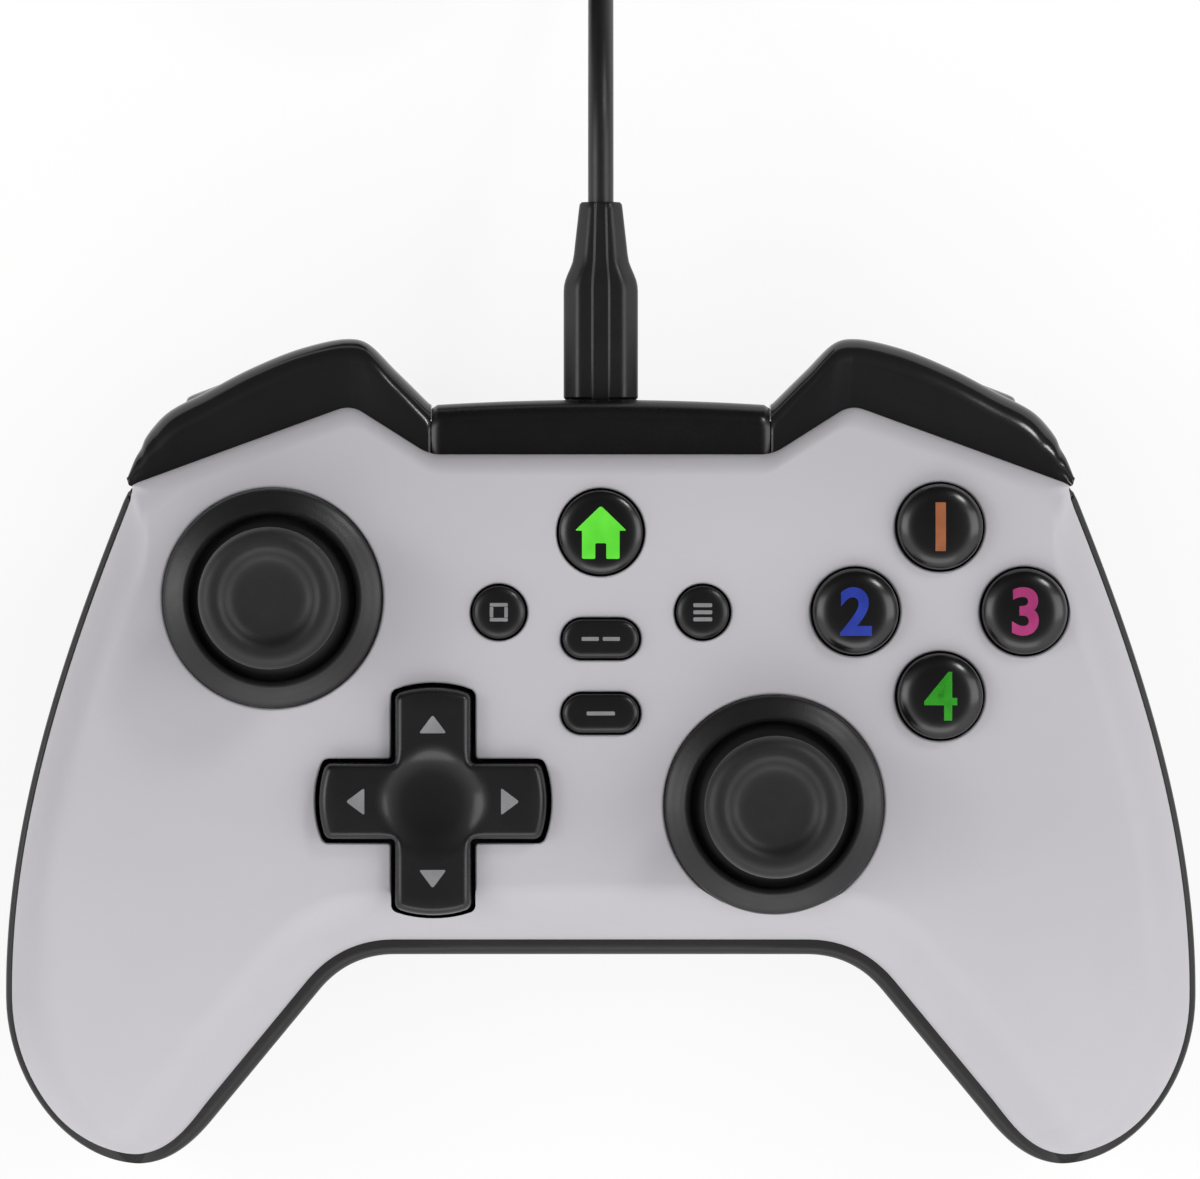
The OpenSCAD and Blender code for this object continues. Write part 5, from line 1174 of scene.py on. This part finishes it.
def dpad():
    """A cross with a dished middle, on four legs, hollowed for its pivot ball."""
    face = float(face_at(*DPAD))
    top, low = face + DPAD_RISE, face - DPAD_SKIRT
    plan = cross_plan(DPAD_L, DPAD_W, 1.0, 0.5)
    normal = outline_normals(plan)
    ball = (DISH_R ** 2 + DISH_DEEP ** 2) / (2 * DISH_DEEP)

    def z(x, y):
        x, y = abs(x - DPAD[0]), abs(y - DPAD[1])
        along, across = (x, y) if x > y else (y, x)
        arm = -0.28 * (across / 5.0) ** 2 * float(smooth((along - 4.0) / 3.0))
        arm -= 0.35 * float(smooth((along - 12.0) / 3.5))
        r = min(math.hypot(x, y), 8.0)
        dish = -DISH_DEEP + ball - math.sqrt(ball ** 2 - r * r)
        blend = 0.35
        h = max(blend - abs(arm - dish), 0.0) / blend
        return top + min(arm, dish) - h * h * blend / 4 * 0.999

    def row(p, drop=0.0):
        return flat(p, [z(x + DPAD[0], y + DPAD[1]) - drop for x, y in p])

    rows = [flat(plan, low)]
    for a in np.linspace(0, math.pi / 2, 9):
        inset = DPAD_DRAFT + DPAD_EDGE * (1 - math.cos(a))
        rows.append(row(plan - normal * inset, DPAD_EDGE * (1 - math.sin(a))))
    rim = plan - normal * (DPAD_DRAFT + DPAD_EDGE)
    rows += [row(rim * share) for share in np.linspace(1, 0.02, 60)[1:]]
    rows = [r + [*DPAD, 0] for r in rows]
    obj = mesh_object("dpad_cross", *loft(rows), "dpad", dpad_surface().mat, "dark_plastic", 45)
    feet = [(DPAD[0] + 9.5 * x, DPAD[1] + 9.5 * y) for x, y in ((1, 0), (-1, 0), (0, 1), (0, -1))]
    legs = [prism(circle_plan(2.0, 32, at), 25.9, low + 0.5) for at in feet]
    combine(obj, legs, "UNION")
    r, mid = 2.25, low - 0.5
    socket = [(r * math.cos(a), mid + r * math.sin(a))
              for a in np.linspace(-math.pi / 2, math.pi / 2, 17)[1:-1]]
    combine(obj, [lathe([(0, mid - r)] + socket + [(0, mid + r)], DPAD, 40)])
    shade(obj.data, 45)
    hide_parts("dpad")
    head = rounded_plan([(-1.1, -1.75), (1.25, 0), (-1.1, 1.75)], [0.35] * 3, 4)
    heads = [[((x + ARROW_AT) * c - y * s, (x + ARROW_AT) * s + y * c) for x, y in head]
             for c, s in ((1, 0), (0, 1), (-1, 0), (0, -1))]
    inlay("dpad_arrows", outlines_mesh(heads, DPAD), z, "dpad", mark_grey.mat, "icon_light")


# Radius and height of the collar ring's crest, above the face, and of the cap's top, above the stick's pivot
RING_CREST = [(14.0, 0.1), (13.85, 0.55), (13.4, 0.88), (12.6, 1.24), (11.8, 1.58), (11.2, 1.76), (10.8, 1.6),
              (10.65, 1.1)]
CAP_TOP = [(9.0, 16.7), (8.9, 17.3), (8.55, 17.9), (8.0, 18.3), (7.4, 18.48), (6.9, 18.5), (6.4, 18.42),
           (5.9, 18.15), (5.4, 17.75), (4.9, 17.45), (4.2, 17.28), (2.8, 17.2), (1.4, 17.2), (0.25, 17.2)]
CAP_GROOVE = [(8.98, 15.4), (8.9, 15.55), (8.9, 15.75), (8.98, 15.9), (9.0, 16.2)]
PIVOT_DEEP, DOME_OUT, DOME_IN, DOME_EDGE = 6.0, 11.7, 10.7, math.radians(84)
NECK_R, NECK_FOOT, CAP_R, CAP_LOW, SOCKET_R, SOCKET_TOP = 4.5, 11.0, 9.0, 14.3, 1.85, 15.8


def round_stretch(r, start, end, steps):
    """Points of an arc about the origin, angles counted from the second axis."""
    return [(r * math.sin(a), r * math.cos(a)) for a in np.linspace(start, end, steps)]


def stick(side):
    """The collar ring, and the cap with its neck and dust dome."""
    p = STICKS[side]
    face = float(face_at(*p))
    low_in, low_out = (11.1, -RING_DEEP), (RING_R - 0.05, -RING_DEEP)
    ring = [low_in, low_out, (RING_R, 0.1 - RING_DEEP), *spline(RING_CREST, steps=6)]
    ring += [(10.8, 0.45), (11.1, 0.35), low_in]
    points, faces = lathe([(r, face + z) for r, z in ring], p, 160)
    obj = mesh_object(side + "_stick_collar", points, faces, "casing", ring_plastic.mat, "dark_plastic", 60)
    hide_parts(side + "_stick_ring")
    outer = round_stretch(DOME_OUT, DOME_EDGE, math.radians(27), 28)
    corners = ((NECK_R, NECK_FOOT), (NECK_R, CAP_LOW), (CAP_R, CAP_LOW), (CAP_R, CAP_TOP[0][1]))
    foot, neck, under, rim = (np.array(corner) for corner in corners)
    outer += [*bend(np.array(outer[-1]), foot, neck, 0.9, 8), *bend(foot, neck, under, 0.6, 6),
              *bend(neck, under, rim, 0.8, 8), *CAP_GROOVE, *spline(CAP_TOP, steps=6), (0.0, CAP_TOP[-1][1])]
    inner = [(0.0, SOCKET_TOP), (SOCKET_R, SOCKET_TOP)]
    inner += round_stretch(DOME_IN, math.asin(SOCKET_R / DOME_IN), DOME_EDGE, 24) + [outer[0]]
    base = face - PIVOT_DEEP
    (points, faces), (under_points, under_faces) = (lathe([(r, base + z) for r, z in half], p, 160)
                                                    for half in (outer, inner))
    faces += [tuple(i + len(points) for i in f) for f in under_faces]
    points = np.concatenate([points, under_points])
    body = side + "_stick_cap"
    obj = mesh_object(side + "_stick_thumb_cap", points, faces, body, rubber.mat, "stick_rubber", 50)
    bm = bmesh.new()
    bm.from_mesh(obj.data)
    bmesh.ops.remove_doubles(bm, verts=bm.verts, dist=1e-7)
    bm.to_mesh(obj.data)
    bm.free()
    shade(obj.data, 50)
    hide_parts(body)


face_buttons()
centre_buttons()
dpad()
stick("left")
stick("right")


# Cable plug, tie and far plug

# Place along the plug, width, height and bevel
PLUG_SIZES = [(39.1, 8.6, 5.2, 0.6), (39.4, 9.0, 5.6, 0.6), (45.6, 9.0, 5.6, 0.6), (45.6, 9.1, 6.5, 1.7),
              (45.9, 9.6, 7.0, 1.8), (53.0, 9.6, 7.0, 1.8), (59.6, 9.6, 7.0, 1.8), (60.3, 9.5, 6.95, 1.8),
              (61.0, 9.2, 6.8, 1.8), (61.8, 8.6, 6.5, 1.75), (62.6, 7.9, 6.15, 1.7), (63.4, 7.3, 5.85, 1.65),
              (64.4, 6.95, 5.65, 1.6), (66.0, 6.6, 5.45, 1.55), (68.0, 6.15, 5.2, 1.5), (70.2, 5.65, 4.9, 1.4),
              (70.8, 5.5, 4.75, 1.4), (71.1, 5.0, 4.3, 1.2)]
GROOVE_FROM = 45.8
FAR_PLUG = np.array([-58.4, 157.45, 4.2])


def plug_loop(w, h, bevel, groove):
    """Section of a moulded plug: eight sides with soft corners and a shallow channel above and below."""
    a, c, k = w / 2 - bevel, 0.1 * w, min(0.55, 0.3 * bevel)
    half = [(w / 2, h / 2 - bevel), (a, h / 2), (c + 0.25, h / 2), (c, h / 2 - groove), (-c, h / 2 - groove),
            (-c - 0.25, h / 2), (-a, h / 2), (-w / 2, h / 2 - bevel)]
    corners = half + [(-x, -z) for x, z in half]
    return rounded_plan(corners, [k, k, 0.12, 0.12, 0.12, 0.12, k, k] * 2, 4)


def cable_plug():
    """The moulded plug, which narrows like a bottle's neck towards the cord."""
    rows = []
    for y, w, h, bevel in PLUG_SIZES:
        p = plug_loop(w, h, bevel, 0.0 if y < GROOVE_FROM else 0.18)
        rows.append(upright(p * [-1, 1] + [0, PLUG_Z], y))
    obj = mesh_object("cable_plug_grip", *loft(rows), "casing", plug_pvc.mat, "cable_black", 38)
    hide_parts("cable_plug")


def tie():
    """A woven band round the windings, with turned-over edges."""
    x0, x1, z1, half, thick, corner = -54.9, -34.3, 16.8, 4.5, 0.7, 2.9

    def loop(inset, across):
        c = [(x0 + inset, inset), (x1 - inset, inset), (x1 - inset, z1 - inset), (x0 + inset, z1 - inset)]
        return upright(rounded_plan(c, [corner - inset] * 4, 8), COIL_MID[1] + across)

    e = thick / 2
    q = np.linspace(-math.pi / 2, math.pi / 2, 7)
    rows = [loop(e - e * math.sin(a), half - e * (1 - math.cos(a))) for a in q]
    rows += [loop(e + e * math.sin(a), -half + e * (1 - math.cos(a))) for a in q]
    m, last = len(rows[0]), (len(rows) - 1) * len(rows[0])
    faces = grid_faces(len(rows), m, True)
    faces += [(last + k, last + (k + 1) % m, (k + 1) % m, k) for k in range(m)]
    obj = mesh_object("cord_tie_band", np.concatenate(rows), faces, "casing", webbing.mat, "dark_plastic", 60)
    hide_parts("cord_tie")
    return obj


def far_plug():
    """The plug at the cord's far end: a ribbed grip with its tongue, and a metal shell with four windows."""
    def across(p, d):
        return FAR_PLUG + np.column_stack([np.full(len(p), -d), -p[:, 0], p[:, 1]])

    def block(d, half_d, y, half_y, z0, z1):
        return box(FAR_PLUG + [-d - half_d, y - half_y, z0], FAR_PLUG + [-d + half_d, y + half_y, z1])

    width, height, shell_w, shell_h = 15.6, 8.2, 6.0, 2.25
    sizes = [(0.0, 0.78), (0.25, 0.86), (0.9, 0.95), (2.0, 1.0), (4.6, 1.0)]
    for g in (5.0, 7.2, 9.4, 11.6):
        sizes += [(g, 1.0), (g + 0.2, 0.955), (g + 0.9, 0.955), (g + 1.1, 1.0)]
    sizes += [(19.4, 1.0), (19.85, 0.985), (20.0, 0.965)]
    rows = [across(plug_loop(width * s, height - width * (1 - s) * 0.75, 1.6, 0.0), d) for d, s in sizes]
    body = mesh_object("far_plug_grip", *loft(rows), "casing", plug_pvc.mat, "cable_black", 30)
    combine(body, [block(19.5, 1.5, 0, shell_w, -shell_h, shell_h)])
    combine(body, [block(25.2, 5.7, 0, 5.4, -1.8, 0.1)], "UNION")
    shade(body.data, 30)
    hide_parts("usb_plug_body")

    def ring(inset, d):
        w, h = shell_w - inset, shell_h - inset
        return across(rounded_plan([(-w, -h), (w, -h), (w, h), (-w, h)], [max(0.25, 0.6 - inset)] * 4, 6), d)

    wall = ((0.0, 18.0), (0.0, 31.8), (0.1, 32.0), (0.3, 32.0), (0.4, 31.8), (0.4, 20.0))
    rows = [ring(inset, d) for inset, d in wall]
    shell = mesh_object("far_plug_shell", *loft(rows), "casing", steel.mat, "steel", 30)
    combine(shell, [block(25.5, 1.1, y, 1.1, z, z + 1.0) for y in (-2.6, 2.6) for z in (1.6, -2.6)])
    shade(shell.data, 30)
    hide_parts("usb_plug_shell")
    return body, shell


cable_plug()
cord(*far_plug(), tie())


# CAD nodes that keep their solids

KEPT = {steel: ("shell_screws", "board_screws", "usb_socket", "dpad_pivot", "bumper_pins", "bumper_switches",
                "trigger_pins", "trigger_springs", "left_rumble_motor", "right_rumble_motor",
                "left_rumble_weight", "right_rumble_weight", "left_stick_lever", "right_stick_lever",
                "cable_plug_tip"),
        board: ("main_board",),
        silicone: ("face_button_pad", "dpad_pad", "centre_pad"),
        black: ("left_stick_base", "right_stick_base", "left_stick_yoke", "right_stick_yoke", "dpad_post")}


def surfaces():
    """Gives each CAD solid that still shows its material."""
    kept = {name: surface for surface, names in KEPT.items() for name in names}
    for name, obj in nodes.items():
        if obj.hide_render:
            continue
        obj.data.materials.clear()
        obj.data.materials.append(kept.get(name, dark_plastic).mat)


surfaces()
